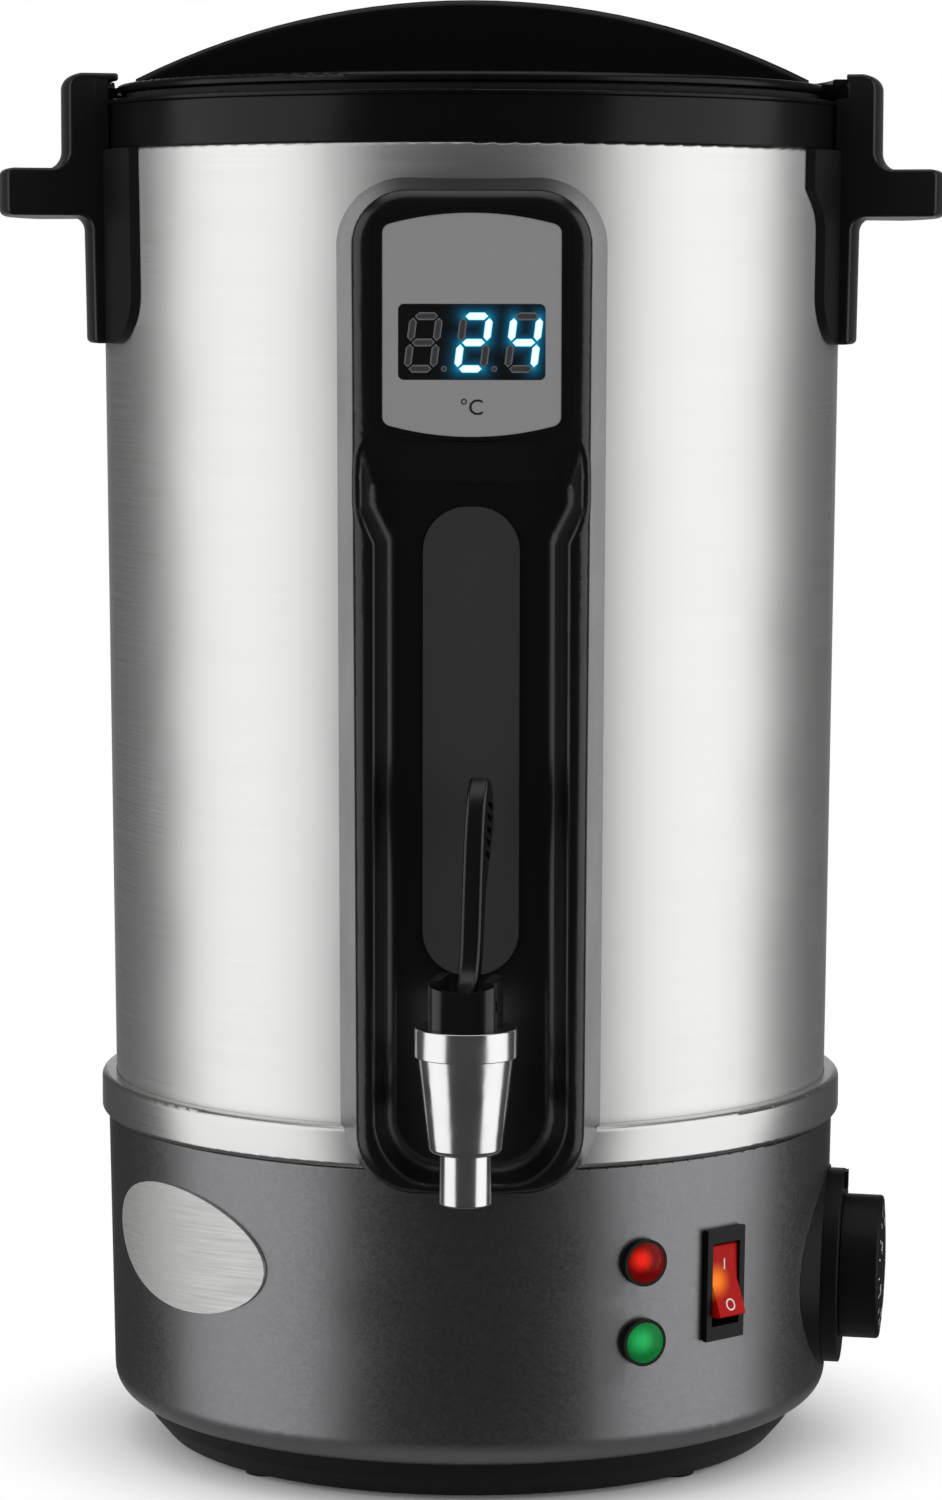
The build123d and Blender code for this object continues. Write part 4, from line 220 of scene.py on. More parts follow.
# %% Metallic paint
FLAKE = 0.7 * MM
FLAKE_DEPTH = 0.004 * MM
PAINT_COLOUR = "#7E7E80"
PAINT_SMOOTHEST = 0.32
PAINT_ROUGHEST = 0.39

PAINT, tree, place = open_finish("grey metallic stoving paint", PAINT_COLOUR)
flakes = add_node(tree, "ShaderNodeTexVoronoi", {"Vector": place, "Scale": 1.0 / FLAKE})
shade = add_node(tree, "ShaderNodeSeparateColor", {0: flakes.outputs["Color"]}).outputs[0]
rough = add_node(tree, "ShaderNodeMapRange",
                 {"Value": shade, "To Min": PAINT_SMOOTHEST, "To Max": PAINT_ROUGHEST})
bump = add_node(tree, "ShaderNodeBump", {"Height": shade, "Distance": FLAKE_DEPTH})
close_finish(tree, {"Base Color": linear(PAINT_COLOUR), "Metallic": 1.0,
                    "Roughness": rough.outputs["Result"], "Normal": bump.outputs[0]})
base_low, base_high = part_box("base_shell")
print("flakes across the base:", round((base_high.x - base_low.x) / FLAKE))

# %% [markdown]
# ## Black plastics
#
# Column, tap lever, lid and collar are polished black ABS. The lid and collar get hot and are
# wiped often, so they shine less. Handles, dial and foot ring are black plastic from a
# spark-eroded mould, with a fine grain. Both are nearly the same black: what tells them apart
# is how sharply they mirror the lamps. The polished ones get a low roughness and a long,
# shallow waviness, as moulded walls have, and the grained ones a rougher, finer surface. The
# shader's specular level, here called shine, is lowered where a face sends back less light.

# %% Polished and grained black
WALL_WAVE = 30.0 * MM
WAVE_DEPTH = 0.02 * MM
SPARK_GRAIN = 0.45 * MM  # the real grain is under 0.1 mm, too fine to show
GRAIN_DEPTH = 0.01 * MM
RUBBER_GRAIN = 1.2 * MM
USUAL_SHINE = 0.5
LID_SHINE = 0.22
DIAL_SHINE = 0.2


def black_plastic(name, colour, roughness, pattern, depth, shine=USUAL_SHINE):
    """Moulded black plastic whose surface varies over a pattern's size in metres."""
    finish, tree, place = open_finish(name, colour)
    noise = add_node(tree, "ShaderNodeTexNoise",
                     {"Vector": place, "Scale": 1.0 / pattern, "Detail": 2.0}).outputs["Fac"]
    surface = uneven_surface(tree, noise, 0.92 * roughness, 1.08 * roughness, depth)
    close_finish(tree, {"Base Color": linear(colour), "Specular IOR Level": shine, **surface})
    return finish


COLUMN_BLACK = black_plastic("polished black ABS column", "#09090A", 0.28, WALL_WAVE, WAVE_DEPTH)
LID_BLACK = black_plastic("polished black ABS lid", "#0B0B0C", 0.26, WALL_WAVE, WAVE_DEPTH,
                          LID_SHINE)
HANDLE_BLACK = black_plastic("grained black PP handle", "#0E0E0F", 0.36, SPARK_GRAIN, GRAIN_DEPTH)
CONTROL_BLACK = black_plastic("grained black ABS dial", "#101011", 0.46, SPARK_GRAIN,
                              GRAIN_DEPTH, DIAL_SHINE)
INLAY_BLACK = black_plastic("matt black ABS inlay", "#333334", 0.5, SPARK_GRAIN, GRAIN_DEPTH)
RUBBER = black_plastic("black silicone rubber", "#0C0C0C", 0.7, RUBBER_GRAIN, WAVE_DEPTH)
print("blacks:", sum("black" in finish.name for finish in bpy.data.materials))

# %% [markdown]
# ## Chrome, aluminium, brass and zinc
#
# The tap is brass under bright chrome, which mirrors the room a little blurred. Cast and
# plated parts inside are duller and cloudier. One function makes them all from a colour, a
# roughness and the size of their clouds. A metal's colour is its reflection, so a dark metal
# is one with a dark colour.

# %% Small metals
def cloudy_metal(name, colour, roughness, cloud, depth):
    """Metal whose roughness drifts in clouds of a given size in metres."""
    finish, tree, place = open_finish(name, colour)
    noise = add_node(tree, "ShaderNodeTexNoise",
                     {"Vector": place, "Scale": 1.0 / cloud, "Detail": 4.0}).outputs["Fac"]
    surface = uneven_surface(tree, noise, 0.8 * roughness, 1.2 * roughness, depth)
    close_finish(tree, {"Base Color": linear(colour), "Metallic": 1.0, **surface})
    return finish


CHROME = cloudy_metal("bright chrome plate", "#DADADB", 0.2, 12 * MM, 0.001 * MM)
TANK_STEEL = cloudy_metal("pickled stainless", "#BDBDBB", 0.32, 8 * MM, 0.004 * MM)
CAST_ALUMINIUM = cloudy_metal("sand cast aluminium", "#BFC0C2", 0.45, 2.5 * MM, 0.05 * MM)
SHEET_ALUMINIUM = cloudy_metal("rolled aluminium sheet", "#C9CACC", 0.35, 6 * MM, 0.005 * MM)
ZINC = cloudy_metal("zinc plated steel", "#AEB1B5", 0.38, 3 * MM, 0.005 * MM)
BRASS = cloudy_metal("turned brass", "#C9A25A", 0.3, 2 * MM, 0.005 * MM)
COPPER = cloudy_metal("drawn copper", "#B86F4C", 0.35, 3 * MM, 0.005 * MM)
SHEATH = cloudy_metal("heat tinted element sheath", "#7C746A", 0.42, 4 * MM, 0.01 * MM)
print("metals:", CHROME.name, ZINC.name, BRASS.name, COPPER.name, SHEATH.name)

# %% [markdown]
# ## Ceramic, silicone, resin, film and ink
#
# The insulating parts are plain: fired steatite, clear silicone, dark resin and the green
# solder mask of a circuit board. So are the label's film and the printing inks. One even
# colour would look like a screen's, not like a made thing's. So each has a colour that wanders
# a little between two close shades, which a mix driven by noise gives. The real grain of film
# and ink is too fine to show, so theirs is drawn half a millimetre wide.

# %% Plain mouldings, film and inks
MOULDED_DEPTH = 0.01 * MM


def plain_moulding(name, colour, second_colour, roughness, grain):
    """A moulded, fired or printed part that wanders between two close colours."""
    finish, tree, place = open_finish(name, colour)
    noise = add_node(tree, "ShaderNodeTexNoise",
                     {"Vector": place, "Scale": 1.0 / grain, "Detail": 3.0}).outputs["Fac"]
    shade = add_node(tree, "ShaderNodeMix",
                     {0: noise, 6: linear(colour), 7: linear(second_colour)}, data_type="RGBA")
    bump = add_node(tree, "ShaderNodeBump", {"Height": noise, "Distance": MOULDED_DEPTH})
    close_finish(tree, {"Base Color": shade.outputs[2], "Roughness": roughness,
                        "Normal": bump.outputs[0]})
    return finish


CERAMIC = plain_moulding("fired steatite", "#DAD5C6", "#C9C2B0", 0.5, 1.5 * MM)
SILICONE = plain_moulding("moulded clear silicone", "#B9B9B5", "#A5A5A0", 0.45, 2.0 * MM)
LEAD_SILICONE = plain_moulding("extruded silicone on glass braid", "#C9C4B6", "#B7B1A0", 0.55,
                               0.8 * MM)
BOARD_GREEN = plain_moulding("green solder mask", "#1E5B36", "#17492B", 0.35, 4.0 * MM)
MODULE_GREY = plain_moulding("cast dark resin", "#26272A", "#1E1F22", 0.5, 1.0 * MM)
LABEL_FILM = plain_moulding("silver grey label film", "#969696", "#929292", 0.42, 0.6 * MM)
WHITE_INK = plain_moulding("white screen ink", "#E4E4E0", "#D6D6D2", 0.5, 0.5 * MM)
BLACK_INK = plain_moulding("black screen ink", "#161616", "#101010", 0.5, 0.5 * MM)
print("mouldings, film and ink:", CERAMIC.name, LABEL_FILM.name, WHITE_INK.name)

# %% [markdown]
# ## The bare badge
#
# An oval of brushed aluminium is stuck on the base, where a maker would print a name. It is
# left bare. It was brushed flat, along a direction a little off level, before it was bent to
# the base, so its scratches run straight. A Mapping node turns the pattern onto that line and
# stretches it. The scratches are drawn 0.35 mm apart, coarser than they are.

# %% Brushed badge
BADGE_AZIMUTH = -51.1  # degrees round the drum from its front
BADGE_LINE = 4.0  # degrees off level
BADGE_SCRATCH_GAP = 0.35 * MM
BADGE_SCRATCH_LENGTH = 18 * MM
BADGE_BRIGHT = "#E4E4E3"
BADGE_DULL = "#CFCFCE"

BADGE_METAL, tree, place = open_finish("brushed aluminium badge", "#D2D2D1")
turned = (0.0, math.radians(BADGE_LINE), -math.radians(BADGE_AZIMUTH))
flat = add_node(tree, "ShaderNodeMapping", {0: place, "Rotation": turned})
scale = (1 / BADGE_SCRATCH_LENGTH, 1 / BADGE_SCRATCH_LENGTH, 1 / BADGE_SCRATCH_GAP)
stretch = add_node(tree, "ShaderNodeMapping", {0: flat.outputs[0], "Scale": scale})
grain = add_node(tree, "ShaderNodeTexNoise",
                 {"Vector": stretch.outputs[0], "Scale": 1.0, "Detail": 3.0,
                  "Roughness": 0.6}).outputs["Fac"]
tone = add_node(tree, "ShaderNodeMix",
                {0: grain, 6: linear(BADGE_BRIGHT), 7: linear(BADGE_DULL)}, data_type="RGBA")
surface = uneven_surface(tree, grain, 0.5, 0.64, 0.004 * MM)
close_finish(tree, {"Base Color": tone.outputs[2], "Metallic": 1.0, **surface})
print("badge brushed", BADGE_LINE, "degrees off level")

# %% [markdown]
# ## Lamps and the lit rocker
#
# A pilot lamp is a dyed polycarbonate lens with small prisms moulded inside, over a neon or
# an LED. The eye sees a deep colour at the rim, a lighter one over the light source, and
# glints from the prisms. Real refraction would be slow and noisy for parts this small. So the
# lens stays opaque: its colour brightens towards a point, it gives off a little light there,
# and a cell pattern of prism size roughens it. The rocker is the same plastic, lit from the
# left. Such a face is seen through more than it mirrors, so its specular level is low.

# %% Dyed polycarbonate
LENS_ROUGHNESS = 0.2
LENS_SHINE = 0.08
LENS_PRISM = 1.1 * MM
ROCKER_PRISM = 2.5 * MM
PRISM_DEPTH = 0.08 * MM
LIT_AHEAD = 2.0 * MM  # how far a lit point lies in front of its part's middle


def lit_plastic(name, deep, bright, centre, reach, prism, glow):
    """Dyed plastic that brightens towards a lit point; places and sizes are in metres."""
    finish, tree, place = open_finish(name, deep)
    span = add_node(tree, "ShaderNodeVectorMath", {0: place, 1: centre}, operation="DISTANCE")
    near = add_node(tree, "ShaderNodeMapRange",
                    {"Value": span.outputs["Value"], "From Min": reach, "From Max": 0.0},
                    interpolation_type="SMOOTHSTEP")
    prisms = add_node(tree, "ShaderNodeTexVoronoi", {"Vector": place, "Scale": 1.0 / prism})
    colour = add_node(tree, "ShaderNodeMix",
                      {0: near.outputs["Result"], 6: linear(deep), 7: linear(bright)},
                      data_type="RGBA")
    power = add_node(tree, "ShaderNodeMath", {0: near.outputs["Result"], 1: glow},
                     operation="MULTIPLY")
    bump = add_node(tree, "ShaderNodeBump",
                    {"Height": prisms.outputs["Distance"], "Distance": PRISM_DEPTH})
    close_finish(tree, {"Base Color": colour.outputs[2], "Roughness": LENS_ROUGHNESS,
                        "Specular IOR Level": LENS_SHINE, "Normal": bump.outputs[0],
                        "Emission Color": linear(bright), "Emission Strength": power.outputs[0]})
    return finish


def lit_point(node, right, up):
    """A point on a lens or rocker, moved right and up from its middle, in metres."""
    low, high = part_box(node)
    return tuple((low + high) / 2 + Vector((right, -LIT_AHEAD, up)))


RED_LENS = lit_plastic("red polycarbonate lens", "#780705", "#F0281A",
                       lit_point("red_lamp_lens", -1.2 * MM, 1.2 * MM), 4.2 * MM, LENS_PRISM, 0.4)
GREEN_LENS = lit_plastic("green polycarbonate lens", "#0E7A36", "#2FBF66",
                         lit_point("green_lamp_lens", -1.0 * MM, 1.0 * MM), 5.0 * MM, LENS_PRISM,
                         0.12)
ROCKER_RED = lit_plastic("red polycarbonate rocker", "#AE0C07", "#FF8A1E",
                         lit_point("switch_rocker", -3.0 * MM, -0.5 * MM), 7.0 * MM,
                         ROCKER_PRISM, 0.7)
print("lit plastics:", RED_LENS.name, GREEN_LENS.name, ROCKER_RED.name)

# %% [markdown]
# ## Dress the solids
#
# A CAD mesh is loose triangles, so shading can't flow across them. A copy of each is welded,
# shaded smooth, and kept sharp only where two faces meet at a real edge. Large faces get the
# most say in how a shared corner is shaded, so a flat wall stays flat up to its rounded edge.
# The copy stands for its solid and rides on the same body. Assigning a material to the CAD
# object itself would be shorter, but its facets would show in the polished parts.

# %% Which solid gets which finish
FINISHES = {
    DRUM_STEEL: ["tank_wall"],
    TRIM_STEEL: ["trim_ring"],
    PAINT: ["base_shell"],
    COLUMN_BLACK: ["front_column", "tap_lever", "tap_bonnet"],
    LID_BLACK: ["lid", "collar"],
    HANDLE_BLACK: ["left_handle", "right_handle"],
    CONTROL_BLACK: ["foot_ring", "lamp_holders", "switch_housing", "dial_saddle", "dial_ring",
                    "thermostat_knob", "mains_inlet"],
    INLAY_BLACK: ["channel_inlay"],
    RUBBER: ["rubber_feet", "lid_seal"],
    CHROME: ["tap_body"],
    TANK_STEEL: ["tank_floor", "temperature_probe", "valve_stem", "lever_pin",
                 "thermostat_spindle", "valve_spring"],
    CAST_ALUMINIUM: ["heater_plate"],
    SHEET_ALUMINIUM: ["heat_shield"],
    ZINC: ["base_plate", "tie_rods", "tie_rod_nuts", "shield_spacers", "wall_screws",
           "probe_nut", "thermostat_screws", "inlet_screws"],
    BRASS: ["tap_shank", "tap_lock_nut", "inlet_pins"],
    COPPER: ["thermostat_bulb"],
    SHEATH: ["heating_element"],
    CERAMIC: ["element_terminals", "thermal_cutout", "thermostat_body", "terminal_block"],
    SILICONE: ["screw_gaskets", "column_seal", "outer_tank_seal", "inner_tank_seal", "seat_plug"],
    LEAD_SILICONE: ["internal_leads"],
    MODULE_GREY: ["display_module"],
    BOARD_GREEN: ["display_board"],
    LABEL_FILM: ["label_plate"],
    BADGE_METAL: ["badge_plate"],
    RED_LENS: ["red_lamp_lens"],
    GREEN_LENS: ["green_lamp_lens"],
    ROCKER_RED: ["switch_rocker"],
}
print("finishes:", len(FINISHES), "for", sum(len(names) for names in FINISHES.values()), "solids")

# %% Weld, smooth and assign
WELD = 1e-6
CREASE = 47.0  # degrees between faces that still shade as one


def show_piece(name, mesh, finish, body):
    """Puts a finished mesh in the scene and lets it ride on a body."""
    mesh.materials.clear()
    mesh.materials.append(finish)
    piece = bpy.data.objects.new(name, mesh)
    bpy.context.scene.collection.objects.link(piece)
    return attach(piece, body)


def plain_mesh(holder):
    """Turns what an object shows into a plain mesh, and takes the object away."""
    bpy.context.scene.collection.objects.link(holder)
    shown = holder.evaluated_get(bpy.context.evaluated_depsgraph_get())
    mesh = bpy.data.meshes.new_from_object(shown)
    holder.modifiers.clear()
    bpy.data.objects.remove(holder)
    return mesh


def weigh_normals(mesh):
    """Lets large faces decide how shared corners are shaded, and keeps sharp edges."""
    holder = bpy.data.objects.new(mesh.name, mesh)
    holder.modifiers.new("weigh", "WEIGHTED_NORMAL").keep_sharp = True
    return plain_mesh(holder)


def welded_copy(name):
    """A solid's mesh with its doubled corners merged, as a new mesh."""
    shell = bmesh.new()
    shell.from_mesh(nodes[name].data)
    bmesh.ops.remove_doubles(shell, verts=shell.verts, dist=WELD)
    shell.verts.index_update()
    corners = [tuple(vertex.co) for vertex in shell.verts]
    faces = [[vertex.index for vertex in face.verts] for face in shell.faces]
    shell.free()
    mesh = bpy.data.meshes.new(name)
    mesh.from_pydata(corners, [], faces)
    mesh.shade_smooth()
    mesh.set_sharp_from_angle(angle=math.radians(CREASE))
    return weigh_normals(mesh)


for finish, names in FINISHES.items():
    for name in names:
        body = nodes[name]["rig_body"]
        piece = show_piece("finished_" + name, welded_copy(name), finish, body)
        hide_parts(name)
print("dressed:", sum(len(names) for names in FINISHES.values()), "of", len(nodes))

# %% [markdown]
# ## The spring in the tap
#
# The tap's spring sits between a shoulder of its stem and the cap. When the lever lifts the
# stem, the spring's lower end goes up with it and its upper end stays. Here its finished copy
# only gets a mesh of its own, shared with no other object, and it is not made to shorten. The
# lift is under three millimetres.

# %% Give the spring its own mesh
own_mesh(bpy.data.objects["finished_valve_spring"])

# %% [markdown]
# ## The temperature display
#
# Behind a smoked window sits a row of three digits, each made of seven light bars. A lit bar
# is almost white with a blue edge, and an unlit one is grey. The bars could be drawn by a
# material on one flat face, but that takes a long chain of nodes. Here each bar is a small
# six-sided tile with a core and a rim, and one number kept at its corners, called lit, colours
# the core and the rim.

# %% Where the bars are
DIGIT_PITCH = 12.85 * MM
DIGIT_LEFT = -12.4 * MM
DIGIT_RISE = -0.15 * MM  # digits' middle from the window's
BAR_THICK = 1.95 * MM
BAR_LENGTH = 5.9 * MM
HALF_WIDTH = 3.3 * MM  # from a digit's middle to its upright bars
HALF_HEIGHT = 6.7 * MM
SLANT = math.tan(math.radians(7.0))
BARS = {  # middle of each bar, in half widths and half heights, and whether it stands upright
    "a": (0, 1, False), "b": (1, 0.5, True), "c": (1, -0.5, True), "d": (0, -1, False),
    "e": (-1, -0.5, True), "f": (-1, 0.5, True), "g": (0, 0, False),
}
DIGITS = ["", "abged", "fgbc"]  # blank, 2 and 4

window_low, window_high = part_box("display_window")
window_middle = (window_low + window_high) / 2


def bar_corners(digit, bar, inset):
    """The six corners of a bar on the window, drawn in by an inset, and slanted."""
    across, rise, upright = BARS[bar]
    tip, side = BAR_LENGTH / 2 - inset, BAR_THICK / 2 - inset
    outline = [(tip, 0), (tip - side, side), (side - tip, side), (-tip, 0), (side - tip, -side),
               (tip - side, -side)]
    if upright:
        outline = [(-y, x) for x, y in outline]
    corners = []
    for x, y in outline:
        x += DIGIT_LEFT + digit * DIGIT_PITCH + across * HALF_WIDTH
        y += rise * HALF_HEIGHT
        corners.append((window_middle.x + x + y * SLANT, window_middle.z + DIGIT_RISE + y))
    return corners


lit_bars = [(digit, bar) for digit, bars in enumerate(DIGITS) for bar in bars]
print("lit bars:", len(lit_bars), "of", len(BARS) * len(DIGITS))

# %% Build the bars and the dots
BAR_RIM = 0.5 * MM
BAR_PROUD = 0.05 * MM
CORE_PROUD = 0.5 * BAR_PROUD  # how far a core stands out of its rim
DOT_RADIUS = 0.75 * MM
DOT_CORE = 0.6  # share of the radius
DOT_SIDES = 20
DOT_OFFSET = 2.0 * MM  # from a digit's right bars
UNLIT_CORE = 0.0  # how lit a corner is, from 0 to 1
UNLIT_RIM = 0.15
LIT_RIM = 0.6
LIT_CORE = 1.0

shell = bmesh.new()
lit_layer = shell.verts.layers.float.new("lit")


def tile(outer, inner, lit):
    """Adds a thin tile with a core and a rim, and marks how lit each corner is."""
    rim, core = (LIT_RIM, LIT_CORE) if lit else (UNLIT_RIM, UNLIT_CORE)
    front = window_low.y - BAR_PROUD
    rings = []
    for outline, depth, shade in ((outer, window_low.y, rim), (outer, front, rim),
                                  (inner, front - CORE_PROUD, core)):
        ring = [shell.verts.new((x, depth, z)) for x, z in outline]
        for vertex in ring:
            vertex[lit_layer] = shade
        rings.append(ring)
    for lower, upper in zip(rings, rings[1:]):
        for near, far in zip(range(len(lower)), [*range(1, len(lower)), 0]):
            shell.faces.new((lower[near], lower[far], upper[far], upper[near]))
    shell.faces.new(rings[-1])
    shell.faces.new(rings[0][::-1])


for digit in range(len(DIGITS)):
    for bar in BARS:
        tile(bar_corners(digit, bar, 0.0), bar_corners(digit, bar, BAR_RIM),
             bar in DIGITS[digit])
    if digit == len(DIGITS) - 1:
        break  # the window ends before the last digit's dot
    dot_x = window_middle.x + DIGIT_LEFT + digit * DIGIT_PITCH + HALF_WIDTH + DOT_OFFSET
    dot_z = window_middle.z + DIGIT_RISE - HALF_HEIGHT
    angles = [step * math.tau / DOT_SIDES for step in range(DOT_SIDES)]
    outer, inner = ([(dot_x + radius * math.cos(angle), dot_z + radius * math.sin(angle))
                     for angle in angles] for radius in (DOT_RADIUS, DOT_CORE * DOT_RADIUS))
    tile(outer, inner, False)

bmesh.ops.recalc_face_normals(shell, faces=shell.faces)
bars_mesh = bpy.data.meshes.new("display_bars")
shell.to_mesh(bars_mesh)
shell.free()
print("bar mesh faces:", len(bars_mesh.polygons))

# %% Colour the bars by how lit they are
BAR_GLOW = 0.8
SPECK = 0.3 * MM
SPECK_DEPTH = 0.005 * MM

BAR_LIGHT, tree, place = open_finish("diffused light bar", "#DFF6FF")
lit = add_node(tree, "ShaderNodeAttribute", attribute_name="lit").outputs["Fac"]
ramp = add_node(tree, "ShaderNodeValToRGB", {0: lit})
ramp.color_ramp.elements[0].color = linear("#3A3B3D")
ramp.color_ramp.elements[1].color = linear("#F2FDFF")
ramp.color_ramp.elements.new(UNLIT_RIM).color = linear("#77787A")
ramp.color_ramp.elements.new(LIT_RIM).color = linear("#4CCBF2")
power = add_node(tree, "ShaderNodeMapRange",
                 {"Value": lit, "From Min": UNLIT_RIM, "From Max": LIT_RIM, "To Max": BAR_GLOW})
speck = add_node(tree, "ShaderNodeTexNoise", {"Vector": place, "Scale": 1.0 / SPECK})
bump = add_node(tree, "ShaderNodeBump", {"Height": speck.outputs["Fac"], "Distance": SPECK_DEPTH})
close_finish(tree, {"Base Color": ramp.outputs[0], "Roughness": 0.45, "Normal": bump.outputs[0],
                    "Emission Color": ramp.outputs[0], "Emission Strength": power.outputs[0]})
show_piece("display_bars", bars_mesh, BAR_LIGHT, "root")
print("bars glow up to", BAR_GLOW)

# %% [markdown]
# ### The smoked window
#
# The window is a pane of dark acrylic, and the light of the lit bars spreads a little way in
# it. Real bloom would need the compositor, and real dark glass is slow to look through. So the
# pane is opaque with the bars just in front of it, and the spread is kept in its own mesh: its
# front is a fine grid, and each corner remembers how near it is to a lit bar.

# %% How far a point is from a bar
GRID_CELL = 0.35 * MM
SPREAD = 1.1 * MM


def distance_to_bar(x, z, digit, bar):
    """Distance from a point on the window to the middle line of a bar."""
    corners = bar_corners(digit, bar, 0.0)
    start, end = Vector(corners[0]), Vector(corners[3])
    line = end - start
    share = max(0.0, min(1.0, (Vector((x, z)) - start).dot(line) / line.length_squared))
    return (Vector((x, z)) - start - share * line).length


print("light falls to a third over", SPREAD / MM, "mm")

# %% The window's grid
width, height = window_high.x - window_low.x, window_high.z - window_low.z
columns, rows = round(width / GRID_CELL), round(height / GRID_CELL)
shell = bmesh.new()
glow_layer = shell.verts.layers.float.new("glow")
grid = []
for row in range(rows + 1):
    line = []
    for column in range(columns + 1):
        x = window_low.x + width * column / columns
        z = window_low.z + height * row / rows
        nearest = min(distance_to_bar(x, z, digit, bar) for digit, bar in lit_bars)
        vertex = shell.verts.new((x, window_low.y, z))
        vertex[glow_layer] = math.exp(-nearest / SPREAD)
        line.append(vertex)
    grid.append(line)
for lower, upper in zip(grid, grid[1:]):
    for column in range(columns):
        shell.faces.new((lower[column], lower[column + 1], upper[column + 1], upper[column]))
pushed = bmesh.ops.extrude_face_region(shell, geom=shell.faces[:])
back = [item for item in pushed["geom"] if isinstance(item, bmesh.types.BMVert)]
for vertex in back:
    vertex.co.y = window_high.y
    vertex[glow_layer] = 0.0
bmesh.ops.recalc_face_normals(shell, faces=shell.faces)
window_mesh = bpy.data.meshes.new("smoked_window")
shell.to_mesh(window_mesh)
shell.free()
print("window grid:", columns, "by", rows)

# %% Smoked acrylic
SMOKED_COLOUR = "#101011"
SMOKED_ROUGHNESS = 0.12
SMOKED_GLOW = 0.9
SMOKED_DEPTH = 0.01 * MM

SMOKED, tree, place = open_finish("smoked acrylic window", SMOKED_COLOUR)
glow = add_node(tree, "ShaderNodeAttribute", attribute_name="glow").outputs["Fac"]
power = add_node(tree, "ShaderNodeMath", {0: glow, 1: SMOKED_GLOW}, operation="MULTIPLY")
wave = add_node(tree, "ShaderNodeTexNoise", {"Vector": place, "Scale": 1.0 / WALL_WAVE})
bump = add_node(tree, "ShaderNodeBump", {"Height": wave.outputs["Fac"], "Distance": SMOKED_DEPTH})
close_finish(tree, {"Base Color": linear(SMOKED_COLOUR), "Roughness": SMOKED_ROUGHNESS,
                    "Normal": bump.outputs[0], "Emission Color": linear("#0A86B4"),
                    "Emission Strength": power.outputs[0]})
window = show_piece("smoked_window", window_mesh, SMOKED, "root")
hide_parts("display_window")
print("the window stands for display_window")

# %% [markdown]
# ## Printed marks
#
# The rocker has I and O, the label has the sign for degrees Celsius, and the knob has numbers
# that pass under the nub on its ring. Printing is ink a few hundredths of a millimetre thick.
# Each mark starts as text in a flat plane that faces the surface, becomes a mesh, and is then
# dropped onto the surface corner by corner, so it lies on a curved face without sinking in.

# %% Drop flat marks onto a surface
INK = 0.05 * MM
CAST_FROM = 0.1  # metres outside a plane, where its rays start


def facing_plane(azimuth, distance, height, droop=0.0):
    """A plane at an angle round the drum, in degrees: X right, Y up and Z out of the drum."""
    turn, lean = math.radians(azimuth), math.radians(droop)
    right = Vector((math.cos(turn), math.sin(turn), 0.0))
    out = Vector((math.sin(turn) * math.cos(lean), -math.cos(turn) * math.cos(lean),
                  -math.sin(lean)))
    foot = Vector((distance * math.sin(turn), -distance * math.cos(turn), height))
    return Matrix.Translation(foot) @ Matrix((right, out.cross(right), out)).transposed().to_4x4()


def drop_onto(mesh, plane, node):
    """Drops a mesh that was made in a plane's axes onto a solid, and keeps its thickness."""
    source = nodes[node].data
    surface = BVHTree.FromPolygons([vertex.co for vertex in source.vertices],
                                   [tuple(face.vertices) for face in source.polygons])
    out = plane.to_3x3().col[2]
    for vertex in mesh.vertices:
        start = plane @ Vector((vertex.co.x, vertex.co.y, CAST_FROM))
        hit = surface.ray_cast(start, -out)[0]
        vertex.co = hit + out * (INK + vertex.co.z)
    return mesh


def print_mark(name, words, height, plane, node, ink):
    """Prints words on a solid, centred on the plane; height is the text size in metres."""
    text = bpy.data.curves.new(name, "FONT")
    text.body = words
    text.size = height
    text.align_x = "CENTER"
    text.align_y = "CENTER"
    text.extrude = 0.4 * INK  # to each side, so its back stays just off the surface
    mesh = plain_mesh(bpy.data.objects.new(name, text))
    drop_onto(mesh, plane, node)
    return show_piece(name, mesh, ink, nodes[node]["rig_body"])


print("ink stands out by", INK / MM, "mm")

# %% Print the label and the rocker
BASE_DROOP = 1.05  # degrees that the base's wall faces below level
LABEL_SIGN_SIZE = 5.6 * MM
ROCKER_SIGN_SIZE = 4.4 * MM
ROCKER_SIGNS = (("rocker_on_mark", "I", 5.2 * MM), ("rocker_off_mark", "O", -5.6 * MM))

label = facing_plane(azimuth=0.0, distance=110.0 * MM, height=295.8 * MM)
print_mark("label_degrees", "°C", LABEL_SIGN_SIZE, label, "label_plate", BLACK_INK)
switch = facing_plane(azimuth=41.6, distance=102.8 * MM, height=58.1 * MM, droop=BASE_DROOP)
for name, sign, rise in ROCKER_SIGNS:
    print_mark(name, sign, ROCKER_SIGN_SIZE, switch @ Matrix.Translation((0, rise, 0)),
               "switch_rocker", WHITE_INK)
print("marks printed on the label and the rocker")

# %% [markdown]
# ## The knob's scale
#
# The knob turns three quarters of a turn, and its numbers give the wax temperature. Its tick
# marks repeat at equal steps round an arc, which is what Geometry Nodes are good at: a line of
# points is bent into an arc, and the same small block is set on each point. The tree has named
# inputs, so the same one could mark any dial. Its result is turned into a plain mesh.

